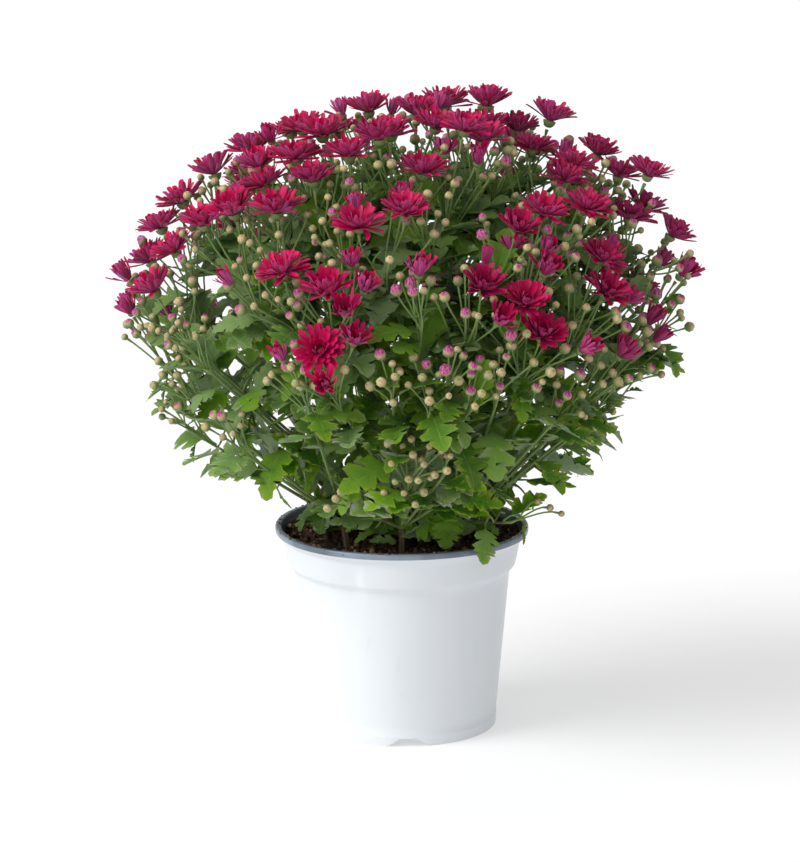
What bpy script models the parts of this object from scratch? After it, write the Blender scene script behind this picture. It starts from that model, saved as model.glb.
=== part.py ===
"""Pot chrysanthemum: a white nursery pot, its soil, the leafy shoots that stand in it and their blooms.

Metres, +Z up. The origin is the middle of the pot's foot, on the surface that the pot stands on.
The plant's front faces -Y.
"""

import math
import random
from dataclasses import dataclass, field

import bmesh
import bpy
import numpy as np
from mathutils import Matrix, Vector
from mathutils.bvhtree import BVHTree

SEED = 11
GOLDEN_ANGLE = math.radians(137.508)

# Pot
POT_HEIGHT = 0.150
RIM_RADIUS = 0.0934
RIM_INSIDE = 0.0890
RIM_BAND = 0.0042
COLLAR_RADIUS = 0.0877
COLLAR_FOOT_RADIUS = 0.0840
WALL_TOP_RADIUS = 0.0797
FOOT_RADIUS = 0.0704
COLLAR_TOP = 0.1405
COLLAR_FOOT = 0.1222
WALL_TOP = 0.1175
FOOT_BAND = 0.0085
FLOOR_HEIGHT = 0.008
WALL = 0.0013
POT_SIDES = 26
SOIL_SIDES = 20
FOOT_NOTCHES = 3
NOTCH_TOP = 0.0114
NOTCH_FOOT = 0.0322
NOTCH_HEIGHT = 0.006
DRAIN_HOLES = 4
DRAIN_RADIUS = 0.005
DRAIN_RING = 0.048

# Soil
SOIL_EDGE = 0.1415
SOIL_CROWN = 0.1445
SEAT = 0.0003
HOLE_DEPTH = 0.022

# Crown of the plant: an egg-like dome that the bunches of blooms sit on
CROWN_MIDDLE = np.array((0.0, 0.0, 0.291))
CROWN_ACROSS = 0.195
CROWN_UP = 0.174
CROWN_DOWN = 0.121
EYE = np.array((0.0, -2.60, 0.804))
# The front's bunches reach over the top: the far side's stand lower, and from this height up it adds none
FAR_DROP = 0.011
FAR_TOP = 0.444

# Shoots, ring by ring: how many, height angle on the dome, distance of the hole from the pot's axis
SHOOT_RINGS = ((1, 88.0, 0.004), (5, 56.0, 0.027), (8, 20.0, 0.052))
SHOOT_REACH = 0.60
STEM_SHARES = (0.0, 0.16, 0.30, 0.46, 0.63, 0.81, 1.0)
SHOOT_RADIUS = 0.0030
SHOOT_TIP = 0.0016
BRANCH_RADIUS = 0.0014
STALK_RADIUS = 0.0010
FORK_DEPTH = 0.044
STRAIGHT = 0.0035
ROUTE_GAP = 0.0009
NECK_GAP = 0.0006

# Blooms and buds
BLOOM_RADIUS = 0.0185
BLOOM_PETALS = 5
FACE_HEIGHT = 0.009
CALYX_DEPTH = 0.0075
CALYX_RADIUS = 0.0048
HALF_OPEN_RADIUS = 0.0083
HALF_OPEN_PETALS = 4
BUD_RADIUS = 0.0040
BUD_SPRAYS = 22
MOST_BLOOM_NODES = 43
MOST_LEAVES = 54
MOST_BUDS = 40
# Leaves keep above the soil, and higher the further they reach beyond the rim
LEAF_FLOOR = 0.158
LEAF_SLOPE = 0.62

# Bunches on the side that is seen: millimetres across and up on the upright plane through the
# pot's axis, then how many blooms are open and how many half open
SEEN_BUNCHES = (
    (-25, 464, 1, 2), (-78, 450, 2, 1), (-114, 434, 1, 0), (-95, 423, 2, 0), (-53, 433, 2, 0),
    (-10, 442, 2, 0), (-141, 416, 1, 0), (-157, 405, 1, 0), (-104, 408, 1, 1), (-67, 410, 1, 0),
    (-137, 380, 2, 0), (-103, 383, 1, 0), (-181, 373, 1, 0), (-183, 352, 2, 0), (-188, 325, 1, 0),
    (-16, 379, 2, 0), (-91, 341, 1, 0), (-122, 348, 0, 1), (-57, 325, 1, 2), (-48, 387, 0, 1),
    (-48, 349, 0, 1), (10, 462, 1, 1), (43, 466, 2, 0), (44, 445, 2, 0), (79, 451, 2, 0),
    (102, 448, 1, 0), (5, 434, 1, 0), (37, 427, 1, 1), (59, 436, 0, 1), (113, 430, 2, 0),
    (146, 430, 1, 0), (134, 418, 0, 1), (150, 410, 1, 0), (168, 405, 1, 0), (128, 397, 2, 0),
    (110, 387, 1, 0), (88, 377, 1, 0), (187, 380, 3, 0), (19, 399, 0, 1), (9, 337, 0, 1),
    (105, 356, 0, 3), (151, 349, 1, 1), (154, 325, 1, 1), (62, 329, 1, 2), (94, 316, 1, 0),
    (107, 291, 1, 1), (-63, 280, 1, 2), (192, 352, 0, 1), (212, 347, 0, 1), (191, 298, 0, 2),
    (160, 271, 0, 1), (-207, 305, 0, 2), (-85, 271, 0, 1),
)
# Sprays of buds alone on that side: millimetres across and up, then how many buds
SEEN_SPRAYS = (
    (-174, 303, 3), (-181, 263, 3), (-184, 234, 3), (-167, 292, 2), (-9, 266, 3), (40, 276, 2),
    (26, 260, 2), (58, 255, 2), (83, 270, 2), (107, 254, 1), (134, 247, 3), (212, 322, 2),
    (195, 283, 2), (182, 258, 1), (167, 252, 1), (-43, 168, 1), (99, 160, 1), (6, 188, 2),
    (22, 195, 2), (37, 193, 1), (52, 179, 1), (4, 174, 2),
)


def unit(vector):
    """The vector at length 1."""
    return vector / np.linalg.norm(vector)


def draws(*names):
    """A random source of its own for each named thing, so that the order of making changes nothing."""
    return random.Random("-".join(str(name) for name in (SEED, *names)))


def across(direction):
    """Two unit vectors square to a direction."""
    side = np.cross(direction, (0.0, 0.0, 1.0))
    if np.linalg.norm(side) < 1e-3:
        side = np.array((1.0, 0.0, 0.0))
    side = unit(side)
    return side, np.cross(direction, side)


def crown_axes(height):
    """Half-lengths of the dome's egg at that height above or below its middle."""
    return np.array((CROWN_ACROSS, CROWN_ACROSS, CROWN_UP if height >= 0 else CROWN_DOWN))


def crown_point(azimuth, rise, depth=1.0):
    """Point of the dome at an azimuth from the front and a height angle, or that share of the way out."""
    way = np.array((math.sin(azimuth) * math.cos(rise), -math.cos(azimuth) * math.cos(rise), math.sin(rise)))
    return CROWN_MIDDLE + way * crown_axes(way[2]) * depth


def crown_normal(point):
    """Outward direction of the dome nearest to a point."""
    offset = point - CROWN_MIDDLE
    return unit(offset / crown_axes(offset[2]) ** 2)


def seen_on_crown(x, z):
    """Where the line of sight through (x, 0, z) first meets the dome, or passes closest to it."""
    target = np.array((x, 0.0, z))
    axes = crown_axes(z - CROWN_MIDDLE[2])
    start = (EYE - CROWN_MIDDLE) / axes
    way = (target - EYE) / axes
    nearest = -start @ way / (way @ way)
    inside = 1.0 - (start + nearest * way) @ (start + nearest * way)
    back = math.sqrt(max(inside, 0.0) / (way @ way))
    return EYE + (target - EYE) * (nearest - back)


def seen_foot(x, z):
    """Where the foot of a bloom stands whose face is seen at (x, 0, z) in millimetres."""
    face = seen_on_crown(x / 1000, z / 1000)
    return face - FACE_HEIGHT * crown_normal(face)


@dataclass
class Bloom:
    """One bloom or bud: how far it has opened, its foot, the way it faces and its radius."""

    key: str
    kind: str
    foot: np.ndarray
    facing: np.ndarray
    radius: float


@dataclass
class Bunch:
    """Blooms and buds that share one branch, which parts from its shoot and ends at a fork."""

    key: str
    middle: np.ndarray
    opened: int
    half_open: int
    buds: int
    heads: list = field(default_factory=list)
    shoot: int = 0
    share: float = 0.5
    fork: np.ndarray | None = None

    def of(self, *kinds):
        """Its heads of these kinds."""
        return [head for head in self.heads if head.kind in kinds]


def half_round(point, source):
    """The point turned about half way round the pot's axis."""
    turn = math.pi + source.uniform(-0.22, 0.22)
    x, y, z = point * (0.97, 0.97, 1.0) - (0.0, 0.0, FAR_DROP)
    return np.array((x * math.cos(turn) - y * math.sin(turn), x * math.sin(turn) + y * math.cos(turn), z))


def bunches():
    """The seen bunches and sprays, their like on the far side, and sprays of buds that fill between."""
    found = []
    for index, (x, z, opened, half_open) in enumerate(SEEN_BUNCHES):
        found.append(Bunch(f"front{index}", seen_foot(x, z), opened, half_open, 2))
    for index, (x, z, buds) in enumerate(SEEN_SPRAYS):
        found.append(Bunch(f"low{index}", seen_foot(x, z), 0, 0, buds))
    for index, bunch in enumerate(found[:]):
        middle = half_round(bunch.middle, draws("far side", index))
        clear = all(np.linalg.norm(middle - other.middle) > 0.039 for other in found)
        if clear and middle[2] < FAR_TOP:
            found.append(Bunch(f"far{index}", middle, bunch.opened, bunch.half_open, bunch.buds))
    for index in range(BUD_SPRAYS):
        source = draws("spray", index)
        rise = math.asin(0.95 - 1.55 * (index + 0.5) / BUD_SPRAYS)
        azimuth = index * GOLDEN_ANGLE + source.uniform(-0.1, 0.1)
        middle = crown_point(azimuth, rise, 0.95 + source.uniform(-0.05, 0.04))
        if all(np.linalg.norm(middle - other.middle) > 0.034 for other in found):
            found.append(Bunch(f"spray{index}", middle, 0, 0, source.randint(2, 4)))
    return found


def facing_of(point, source):
    """Blooms on top look up, those on the sides look up and out."""
    outward = crown_normal(point)
    top = min(max(outward[2], 0.0), 1.0)
    upright = np.array((0.0, 0.0, 0.45 + 0.55 * top))
    loose = np.array([source.uniform(-0.16, 0.16) for _ in range(3)])
    return unit((0.75 - 0.35 * top) * outward + upright + loose)


class Shoot:
    """A main stem: a smooth curve from its hole in the soil to its tip inside the dome."""

    def __init__(self, index, azimuth, rise, hole):
        self.index = index
        self.way = unit(crown_point(azimuth, rise) - CROWN_MIDDLE)
        outward = np.array((math.sin(azimuth), -math.cos(azimuth), 0.0))
        self.foot = outward * hole + np.array((0.0, 0.0, SOIL_EDGE - HOLE_DEPTH))
        self.tip = crown_point(azimuth, rise, SHOOT_REACH)
        rising = np.array((0.0, 0.0, 0.45 * (self.tip[2] - self.foot[2])))
        self.bend = self.foot + rising + outward * (0.30 * hole)

    def at(self, share):
        """Point a share of the way along the stem."""
        rest = 1.0 - share
        return rest * rest * self.foot + 2 * rest * share * self.bend + share * share * self.tip

    def direction(self, share):
        """Unit vector along the stem there."""
        step = (1.0 - share) * (self.bend - self.foot) + share * (self.tip - self.bend)
        return unit(step)

    def radius(self, share):
        """The stem thins from foot to tip."""
        return SHOOT_RADIUS + (SHOOT_TIP - SHOOT_RADIUS) * share

    def parting(self, target):
        """Share of the way along where a branch to the target leaves, lower for a target further out."""
        shares = np.linspace(0.22, 0.97, 26)
        points = np.array([self.at(share) for share in shares])
        reach = np.linalg.norm(points[:, :2] - target[:2], axis=1)
        wanted = target[2] - 0.85 * reach - 0.010
        return float(shares[np.argmin(np.abs(points[:, 2] - wanted))])


def shoots():
    """All main stems, ring by ring from the middle out."""
    made = []
    for ring, (count, rise, hole) in enumerate(SHOOT_RINGS):
        for step in range(count):
            azimuth = 2 * math.pi * (step + 0.5 * (ring % 2)) / count
            made.append(Shoot(len(made), azimuth, math.radians(rise), hole))
    return made


def fork_of(bunch, aside=0.0, turn=0.0, deep=1.0):
    """Where the stalks of a bunch part: below its middle, towards the plant's heart, or moved aside."""
    source = draws("fork", bunch.key)
    outward = crown_normal(bunch.middle)
    inward = unit(0.55 * outward + np.array((0.0, 0.0, 0.75)))
    side, other = across(inward)
    depth = deep * (FORK_DEPTH * source.uniform(0.85, 1.15) + 0.006 * (bunch.opened > 1))
    if bunch.opened + bunch.half_open == 0:
        depth *= 0.62
    return bunch.middle - inward * depth + aside * (math.cos(turn) * side + math.sin(turn) * other)


def branch_path(bunch, shoot):
    """The branch's corners: its shoot, the bend half way, and the fork of its bunch."""
    start = shoot.at(bunch.share)
    span = np.linalg.norm(bunch.fork - start)
    leaving = unit(shoot.direction(bunch.share) + 0.9 * unit(bunch.fork - start))
    arriving = unit(bunch.middle - bunch.fork)
    bend = 0.5 * (start + bunch.fork) + 0.13 * span * (leaving - arriving)
    return np.array((start, bend, bunch.fork))


def open_head(bunch, n, attempt):
    """A try at an open bloom, beside the others of its bunch round the middle, later ones moved further."""
    source = draws("open", bunch.key)
    side, other = across(unit(crown_normal(bunch.middle) + np.array((0.0, 0.0, 0.8))))
    level = np.cross(side, other)
    level = level if level[2] > 0 else -level
    angle = source.uniform(0.0, 2 * math.pi) + 2 * math.pi * n / bunch.opened
    spread = (0.0, 0.0, 0.84, 1.00)[bunch.opened] * BLOOM_RADIUS
    moved = draws("move", bunch.key, n, attempt)
    far = 0.0010 * attempt
    a, b, c = (moved.uniform(-1.0, 1.0) for _ in range(3))
    foot = bunch.middle + spread * (math.cos(angle) * side + math.sin(angle) * other)
    foot = foot + far * (a * side + b * other) + (0.002 + 0.8 * far) * c * level
    radius = BLOOM_RADIUS * moved.uniform(0.90, 1.08)
    return Bloom(f"{bunch.key}-open{n}", "open", foot, facing_of(foot, moved), radius)


def neck_balls(bloom):
    """Balls down the first stretch of a bloom's stalk."""
    down = np.array((0.004, 0.0075, 0.011, 0.015, 0.019))
    return bloom.foot - np.outer(down, bloom.facing), np.array((0.0030, 0.0016, 0.0014, 0.0014, 0.0014))


def small_head(bunch, kind, n, attempt):
    """A try at a half-open bloom or a bud: beside the open blooms, or round the middle if there are none."""
    source = draws(kind, bunch.key, n, attempt)
    side, other = across(unit(crown_normal(bunch.middle) + np.array((0.0, 0.0, 0.8))))
    level = np.cross(side, other)
    level = level if level[2] > 0 else -level
    angle = source.uniform(0.0, 2 * math.pi)
    looser = 0.0015 * attempt
    if bunch.opened:
        out = (0.0, 0.019, 0.030, 0.036)[bunch.opened] + source.uniform(0.002, 0.010 + looser)
    elif bunch.half_open + bunch.buds == 1:
        out = 0.0
    else:
        out = source.uniform(0.004, 0.016 + looser)
    drop = source.uniform(-0.002, 0.014 + looser) if kind == "bud" else source.uniform(-0.005, 0.008 + looser)
    foot = bunch.middle + out * (math.cos(angle) * side + math.sin(angle) * other) - drop * level
    facing = unit(unit(foot - fork_of(bunch)) + 0.5 * facing_of(foot, source))
    if kind == "bud":
        size = BUD_RADIUS * source.uniform(0.75, 1.12)
    else:
        size = HALF_OPEN_RADIUS * source.uniform(0.85, 1.15)
    return Bloom(f"{bunch.key}-{kind}{n}", kind, foot, facing, size)


def head_balls(bloom):
    """Balls that fill a bloom or bud."""
    r = bloom.radius
    if bloom.kind == "bud":
        return np.array((bloom.foot,)), np.array((1.05 * r,))
    if bloom.kind == "half":
        return bloom.foot + np.outer((0.5 * r, 1.3 * r), bloom.facing), np.array((0.70 * r, 0.85 * r))
    side, other = across(bloom.facing)
    points, radii = [bloom.foot + 0.35 * r * bloom.facing], [0.30 * r]
    for count, out, up, ball in ((8, 0.45, 0.32, 0.26), (14, 0.82, 0.40, 0.18)):
        for k in range(count):
            angle = 2 * math.pi * k / count
            way = math.cos(angle) * side + math.sin(angle) * other
            points.append(bloom.foot + out * r * way + up * r * bloom.facing)
            radii.append(ball * r)
    return np.array(points), np.array(radii)


def balls(line, spacing=0.0025):
    """Points along a line of corners, no further apart than the spacing."""
    filled = [line[:1]]
    for a, b in zip(line[:-1], line[1:]):
        count = max(int(math.ceil(np.linalg.norm(b - a) / spacing)), 1)
        filled.append(a + (b - a) * (np.arange(1, count + 1) / count)[:, None])
    return np.concatenate(filled)


class Thicket:
    """What stands already, as balls that each belong to one owner, from the pot's rim up."""

    def __init__(self):
        self.points = np.zeros((0, 3))
        self.radii = np.zeros(0)
        self.owners = np.zeros(0, int)
        self.names = {}
        angles = np.linspace(0, 2 * math.pi, 120, endpoint=False)
        level = np.full(120, POT_HEIGHT - 0.003)
        for ring in (RIM_INSIDE - 0.006, RIM_RADIUS - 0.004):
            rim = np.stack((ring * np.sin(angles), -ring * np.cos(angles), level), 1)
            self.add(rim, 0.0045, "pot")

    def number(self, owner):
        """A whole number for an owner's name."""
        return self.names.setdefault(owner, len(self.names))

    def add(self, points, radii, owner):
        """Keeps balls for an owner."""
        self.points = np.concatenate((self.points, points))
        self.radii = np.concatenate((self.radii, np.broadcast_to(radii, len(points))))
        self.owners = np.concatenate((self.owners, np.full(len(points), self.number(owner))))

    def gap(self, points, radii, *own):
        """Smallest gap between these balls and those of any owner but its own."""
        low, high = points.min(0) - 0.015, points.max(0) + 0.015
        near = ((self.points > low) & (self.points < high)).all(1)
        for owner in own:
            near &= self.owners != self.number(owner)
        if not near.any():
            return 0.010
        apart = np.linalg.norm(points[:, None] - self.points[near][None], axis=2)
        return float((apart - np.reshape(radii, (-1, 1)) - self.radii[near]).min())


def settle(all_bunches):
    """Places every head: the open blooms, then half-open blooms and buds where they come clear."""
    crowd, necks = Thicket(), Thicket()
    for bunch in all_bunches:
        bunch.heads = []
        for n in range(bunch.opened):
            tries = [open_head(bunch, n, attempt) for attempt in range(24)]
            gaps = [
                min(crowd.gap(*neck_balls(head)), necks.gap(*head_balls(head)), NECK_GAP)
                + 0.4 * min(crowd.gap(*head_balls(head)), 0.0)
                for head in tries
            ]
            best = tries[int(np.argmax(gaps))]
            bunch.heads.append(best)
            crowd.add(*head_balls(best), best.key)
            necks.add(*neck_balls(best), best.key)
    for kind in ("half", "bud"):
        for bunch in all_bunches:
            for n in range(bunch.half_open if kind == "half" else bunch.buds):
                tries = [small_head(bunch, kind, n, attempt) for attempt in range(16)]
                gaps = [min(crowd.gap(*head_balls(head)), 0.0012) for head in tries]
                best = tries[int(np.argmax(gaps))]
                bunch.heads.append(best)
                crowd.add(*head_balls(best), best.key)
    return crowd


def stalk_line(bunch, bloom, shoot):
    """A stalk from inside its branch, a little below the fork, to the neck under its bloom."""
    path = branch_path(bunch, shoot)
    place = bunch.heads.index(bloom)
    root = bunch.fork - unit(path[2] - path[1]) * 0.0035 * place
    neck = CALYX_DEPTH if bloom.kind == "open" else 0.6 * bloom.radius
    return np.array((root, bloom.foot - bloom.facing * neck))


def fork_tries():
    """Places for a fork: first as it would be, then ever further aside, higher and lower."""
    tries = [(0.0, 0.0, 1.0)]
    for aside in (0.006, 0.012, 0.020, 0.028):
        for deep in (1.0, 0.7, 1.35):
            tries += [(aside, k * math.pi / 3, deep) for k in range(6)]
    return tries


def route(all_bunches, stems, thicket):
    """Gives each bunch the shoot, parting and fork whose branch and stalks clear all that stands."""
    for stem in stems:
        line = np.array([stem.at(share) for share in np.linspace(0, 1, 40)])
        thicket.add(balls(line), 0.0031, stem.index)
    ways = np.array([stem.way for stem in stems])
    for bunch in all_bunches:
        near = np.argsort(-(ways @ unit(bunch.middle - CROWN_MIDDLE)))[:3]
        best = None
        for aside, turn, deep in fork_tries():
            bunch.fork = fork_of(bunch, aside, turn, deep)
            for rank, index in enumerate(near):
                bunch.shoot = int(index)
                wanted = stems[index].parting(bunch.fork)
                for shift in (0.0, -0.07, 0.07, -0.14, 0.14):
                    bunch.share = min(max(wanted + shift, 0.16), 0.97)
                    gap = route_gap(bunch, stems[index], thicket)
                    value = min(gap, ROUTE_GAP) - 0.0001 * rank - 0.004 * aside
                    if best is None or value > best[0]:
                        best = (value, gap, bunch.shoot, bunch.share, bunch.fork)
                if best[1] >= ROUTE_GAP:
                    break
            if best[1] >= ROUTE_GAP:
                break
        bunch.shoot, bunch.share, bunch.fork = best[2:]
        shoot = stems[bunch.shoot]
        thicket.add(balls(branch_path(bunch, shoot)), BRANCH_RADIUS, bunch.shoot)
        for head in bunch.heads:
            thicket.add(balls(stalk_line(bunch, head, shoot)), STALK_RADIUS, bunch.shoot)


def route_gap(bunch, shoot, thicket):
    """Smallest gap that the branch and stalks leave, with the buds' thin stalks left out."""
    gap = thicket.gap(balls(branch_path(bunch, shoot)), BRANCH_RADIUS, bunch.shoot)
    for head in bunch.of("open", "half"):
        if gap < 0:
            return gap
        line = balls(stalk_line(bunch, head, shoot))
        gap = min(gap, thicket.gap(line, STALK_RADIUS, bunch.shoot, head.key))
    return gap


def grown():
    """The stems and the bunches, with every head, branch and stalk in its place."""
    stems, found = shoots(), bunches()
    route(found, stems, settle(found))
    return stems, found


@dataclass
class Leaf:
    """One leaf: where it leaves the stem, its heading, the way its face looks, and its length."""

    key: str
    foot: np.ndarray
    heading: np.ndarray
    face: np.ndarray
    length: float


def leaf_at(key, foot, stem, turn, length, lean):
    """A leaf that leaves the stem at a turn round it, its face to the sky; low ones hang."""
    side, other = across(stem)
    out = math.cos(turn) * side + math.sin(turn) * other
    outward = unit(np.array((foot[0], foot[1], 1e-6)))
    low = min(max((CROWN_MIDDLE[2] - foot[2]) / 0.140, 0.0), 1.0)
    droop = np.array((0.0, 0.0, -0.75 * low))
    heading = unit(out + lean * stem + 0.55 * outward + droop)
    tip = foot + length * heading
    reach = max(math.hypot(tip[0], tip[1]) - RIM_RADIUS, 0.0)
    lowest = LEAF_FLOOR + LEAF_SLOPE * reach + 0.3 * length
    heading = unit(heading + np.array((0.0, 0.0, max(lowest - tip[2], 0.0) / length)))
    sky = np.array((0.0, 0.0, 1.0)) + (0.25 + 0.6 * low) * outward
    face = unit(sky - (sky @ heading) * heading + 1e-4 * side)
    return Leaf(key, foot, heading, unit(face - (face @ heading) * heading), length)


def shoot_leaves(shoot):
    """Large leaves up a main stem, a golden angle apart."""
    source = draws("shoot leaves", shoot.index)
    start = source.uniform(0.0, 2 * math.pi)
    made = []
    for n, share in enumerate(np.linspace(0.24, 0.98, 10)):
        length = (0.060 - 0.014 * share) * source.uniform(0.88, 1.08)
        lean = source.uniform(0.10, 0.45)
        turn = start + n * GOLDEN_ANGLE
        stem = shoot.direction(share)
        made.append(leaf_at(f"s{shoot.index}-{n}", shoot.at(share), stem, turn, length, lean))
    return made


def branch_leaves(bunch, shoot):
    """Leaves up a branch, on its straight stretches, and two under the fork."""
    source = draws("branch leaves", bunch.key)
    path = branch_path(bunch, shoot)
    if bunch.opened + bunch.half_open == 0 or bend_of(path) < STRAIGHT:
        path[1] = 0.5 * (path[0] + path[2])
    start = source.uniform(0.0, 2 * math.pi)
    made = []
    for n, share in enumerate((0.72, 0.93, 0.36, 0.60, 0.84)):
        a, b = (path[0], path[1]) if share < 0.5 else (path[1], path[2])
        foot = a + (b - a) * ((2 * share) % 1.0)
        length = (0.062 - 0.024 * share) * source.uniform(0.86, 1.10)
        lean = source.uniform(0.25, 0.7)
        made.append(leaf_at(f"{bunch.key}-{n}", foot, unit(b - a), start + n * GOLDEN_ANGLE, length, lean))
    return made


def new_object(name, mesh, collection):
    """An object for a mesh, in a collection."""
    made = bpy.data.objects.new(name, mesh)
    collection.objects.link(made)
    return made


def new_collection(name):
    """A collection in the scene."""
    made = bpy.data.collections.new(name)
    bpy.context.scene.collection.children.link(made)
    return made


def discard(obj):
    """Takes an object out of the file."""
    bpy.data.objects.remove(obj, do_unlink=True)


def welded_mesh(name, obj):
    """The evaluated mesh of an object with the seams of its caps welded."""
    graph = bpy.context.evaluated_depsgraph_get()
    mesh = bpy.data.meshes.new_from_object(obj.evaluated_get(graph))
    mesh.name = name
    mesh.transform(obj.matrix_world)
    work = bmesh.new()
    work.from_mesh(mesh)
    bmesh.ops.remove_doubles(work, verts=work.verts, dist=1e-6)
    bmesh.ops.recalc_face_normals(work, faces=work.faces)
    work.to_mesh(mesh)
    work.free()
    return mesh


def tube(name, points, radii, collection):
    """A rod along points that swells and thins by its radii: a bevelled curve made a mesh."""
    curve = bpy.data.curves.new(name, "CURVE")
    curve.dimensions = "3D"
    curve.bevel_depth = 1.0
    curve.bevel_resolution = 0
    curve.use_fill_caps = True
    spline = curve.splines.new("POLY")
    spline.points.add(len(points) - 1)
    for at, (point, radius) in enumerate(zip(points, radii)):
        spline.points[at].co = (*point, 1.0)
        spline.points[at].radius = radius
    rod = new_object(name, curve, bpy.context.scene.collection)
    bpy.context.view_layer.update()
    mesh = welded_mesh(name, rod)
    discard(rod)
    bpy.data.curves.remove(curve)
    return new_object(name, mesh, collection)


def turned(name, profile, sides, collection):
    """A profile of (radius, height) swept round the Z axis by a Screw modifier, made a mesh."""
    mesh = bpy.data.meshes.new(name)
    mesh.from_pydata([(r, 0.0, z) for r, z in profile], [(i, i + 1) for i in range(len(profile) - 1)], [])
    body = new_object(name, mesh, bpy.context.scene.collection)
    screw = body.modifiers.new("Turned", "SCREW")
    screw.steps = screw.render_steps = sides
    screw.use_merge_vertices = True
    screw.merge_threshold = 1e-5
    screw.use_smooth_shade = False
    bpy.context.view_layer.update()
    made = welded_mesh(name, body)
    discard(body)
    return new_object(name, made, collection)


def placed(points, foot, facing, turn):
    """Points modelled round +Z from the origin, set on a foot and turned to face a way."""
    side, other = across(facing)
    x = math.cos(turn) * side + math.sin(turn) * other
    y = np.cross(facing, x)
    return foot + points[:, :1] * x + points[:, 1:2] * y + points[:, 2:3] * facing


def solid(name, points, faces, collection):
    """A closed solid from points and faces."""
    mesh = bpy.data.meshes.new(name)
    mesh.from_pydata([tuple(p) for p in points], [], faces)
    mesh.update()
    return new_object(name, mesh, collection)


def bloom_solid(bloom, collection):
    """Two layers of petals: blunt straps that lie out, and a crown of upright ones inside them."""
    n, r = BLOOM_PETALS, bloom.radius
    points = [(0.0, 0.0, 0.0), (0.0, 0.0, 0.26 * r)]
    for k in range(n):
        middle = 2 * math.pi * k / n
        half = math.pi / n
        tip = 0.21
        for angle, out, up in (
            (middle - half, 0.44 * r, 0.17 * r),
            (middle - tip, r, 0.40 * r),
            (middle + tip, r, 0.40 * r),
            (middle - half, 0.27 * r, 0.34 * r),
            (middle, 0.46 * r, 0.74 * r),
        ):
            points.append((out * math.cos(angle), out * math.sin(angle), up))
    faces = []
    for k in range(n):
        valley, left, right, crease, crown = (2 + 5 * k + i for i in range(5))
        after = 2 + 5 * ((k + 1) % n)
        next_valley, next_crease, next_crown = after, after + 3, after + 4
        faces += [(0, left, valley), (0, right, left), (0, next_valley, right)]
        faces += [(crease, valley, left), (crease, left, right), (crease, right, next_crease)]
        faces += [(next_crease, right, next_valley), (crease, next_crease, crown)]
        faces += [(1, crown, next_crease), (1, next_crease, next_crown)]
    source = draws("bloom turn", bloom.key)
    set_points = placed(np.array(points), bloom.foot, bloom.facing, source.uniform(0, 6.28))
    return solid(bloom.key, set_points, faces, collection)


def half_open_solid(bloom, path, width, collection):
    """A four-sided stalk along a path that widens into one crown of petals still standing together."""
    n, r = HALF_OPEN_PETALS, bloom.radius
    corners = [*path, bloom.foot - bloom.facing * 0.6 * r]
    ways = [unit(b - a) for a, b in zip(corners[:-1], corners[1:])]
    ways = [ways[0]] + [unit(a + b) for a, b in zip(ways[:-1], ways[1:])] + [bloom.facing]
    ring = np.array([(math.cos(2 * math.pi * k / n), math.sin(2 * math.pi * k / n), 0.0) for k in range(n)])
    turn = math.pi / n
    valley = np.stack((ring[:, 0] * math.cos(turn) - ring[:, 1] * math.sin(turn),
                       ring[:, 0] * math.sin(turn) + ring[:, 1] * math.cos(turn), ring[:, 2]), 1)
    up = np.array((0.0, 0.0, r))
    points = [placed(ring * width, corner, way, 0.0) for corner, way in zip(corners, ways)]
    last = n * (len(corners) - 1)
    points += [
        placed(ring * 0.85 * r + 1.75 * up, bloom.foot, bloom.facing, 0.0),
        placed(valley * 0.80 * r + 0.55 * up, bloom.foot, bloom.facing, 0.0),
        placed(np.array([(0.0, 0.0, 0.75 * r)]), bloom.foot, bloom.facing, 0.0),
    ]
    faces = [tuple(range(n))[::-1]]
    for k in range(n):
        after = (k + 1) % n
        for base in range(0, last, n):
            faces += [(base + k, base + after, base + n + after), (base + k, base + n + after, base + n + k)]
        tip, next_tip, dip = last + n + k, last + n + after, last + 2 * n + k
        faces += [(last + k, last + after, dip), (last + k, dip, tip), (last + after, next_tip, dip)]
        faces += [(last + 3 * n, tip, dip), (last + 3 * n, dip, next_tip)]
    return solid(bloom.key, np.concatenate(points), faces, collection)


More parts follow.
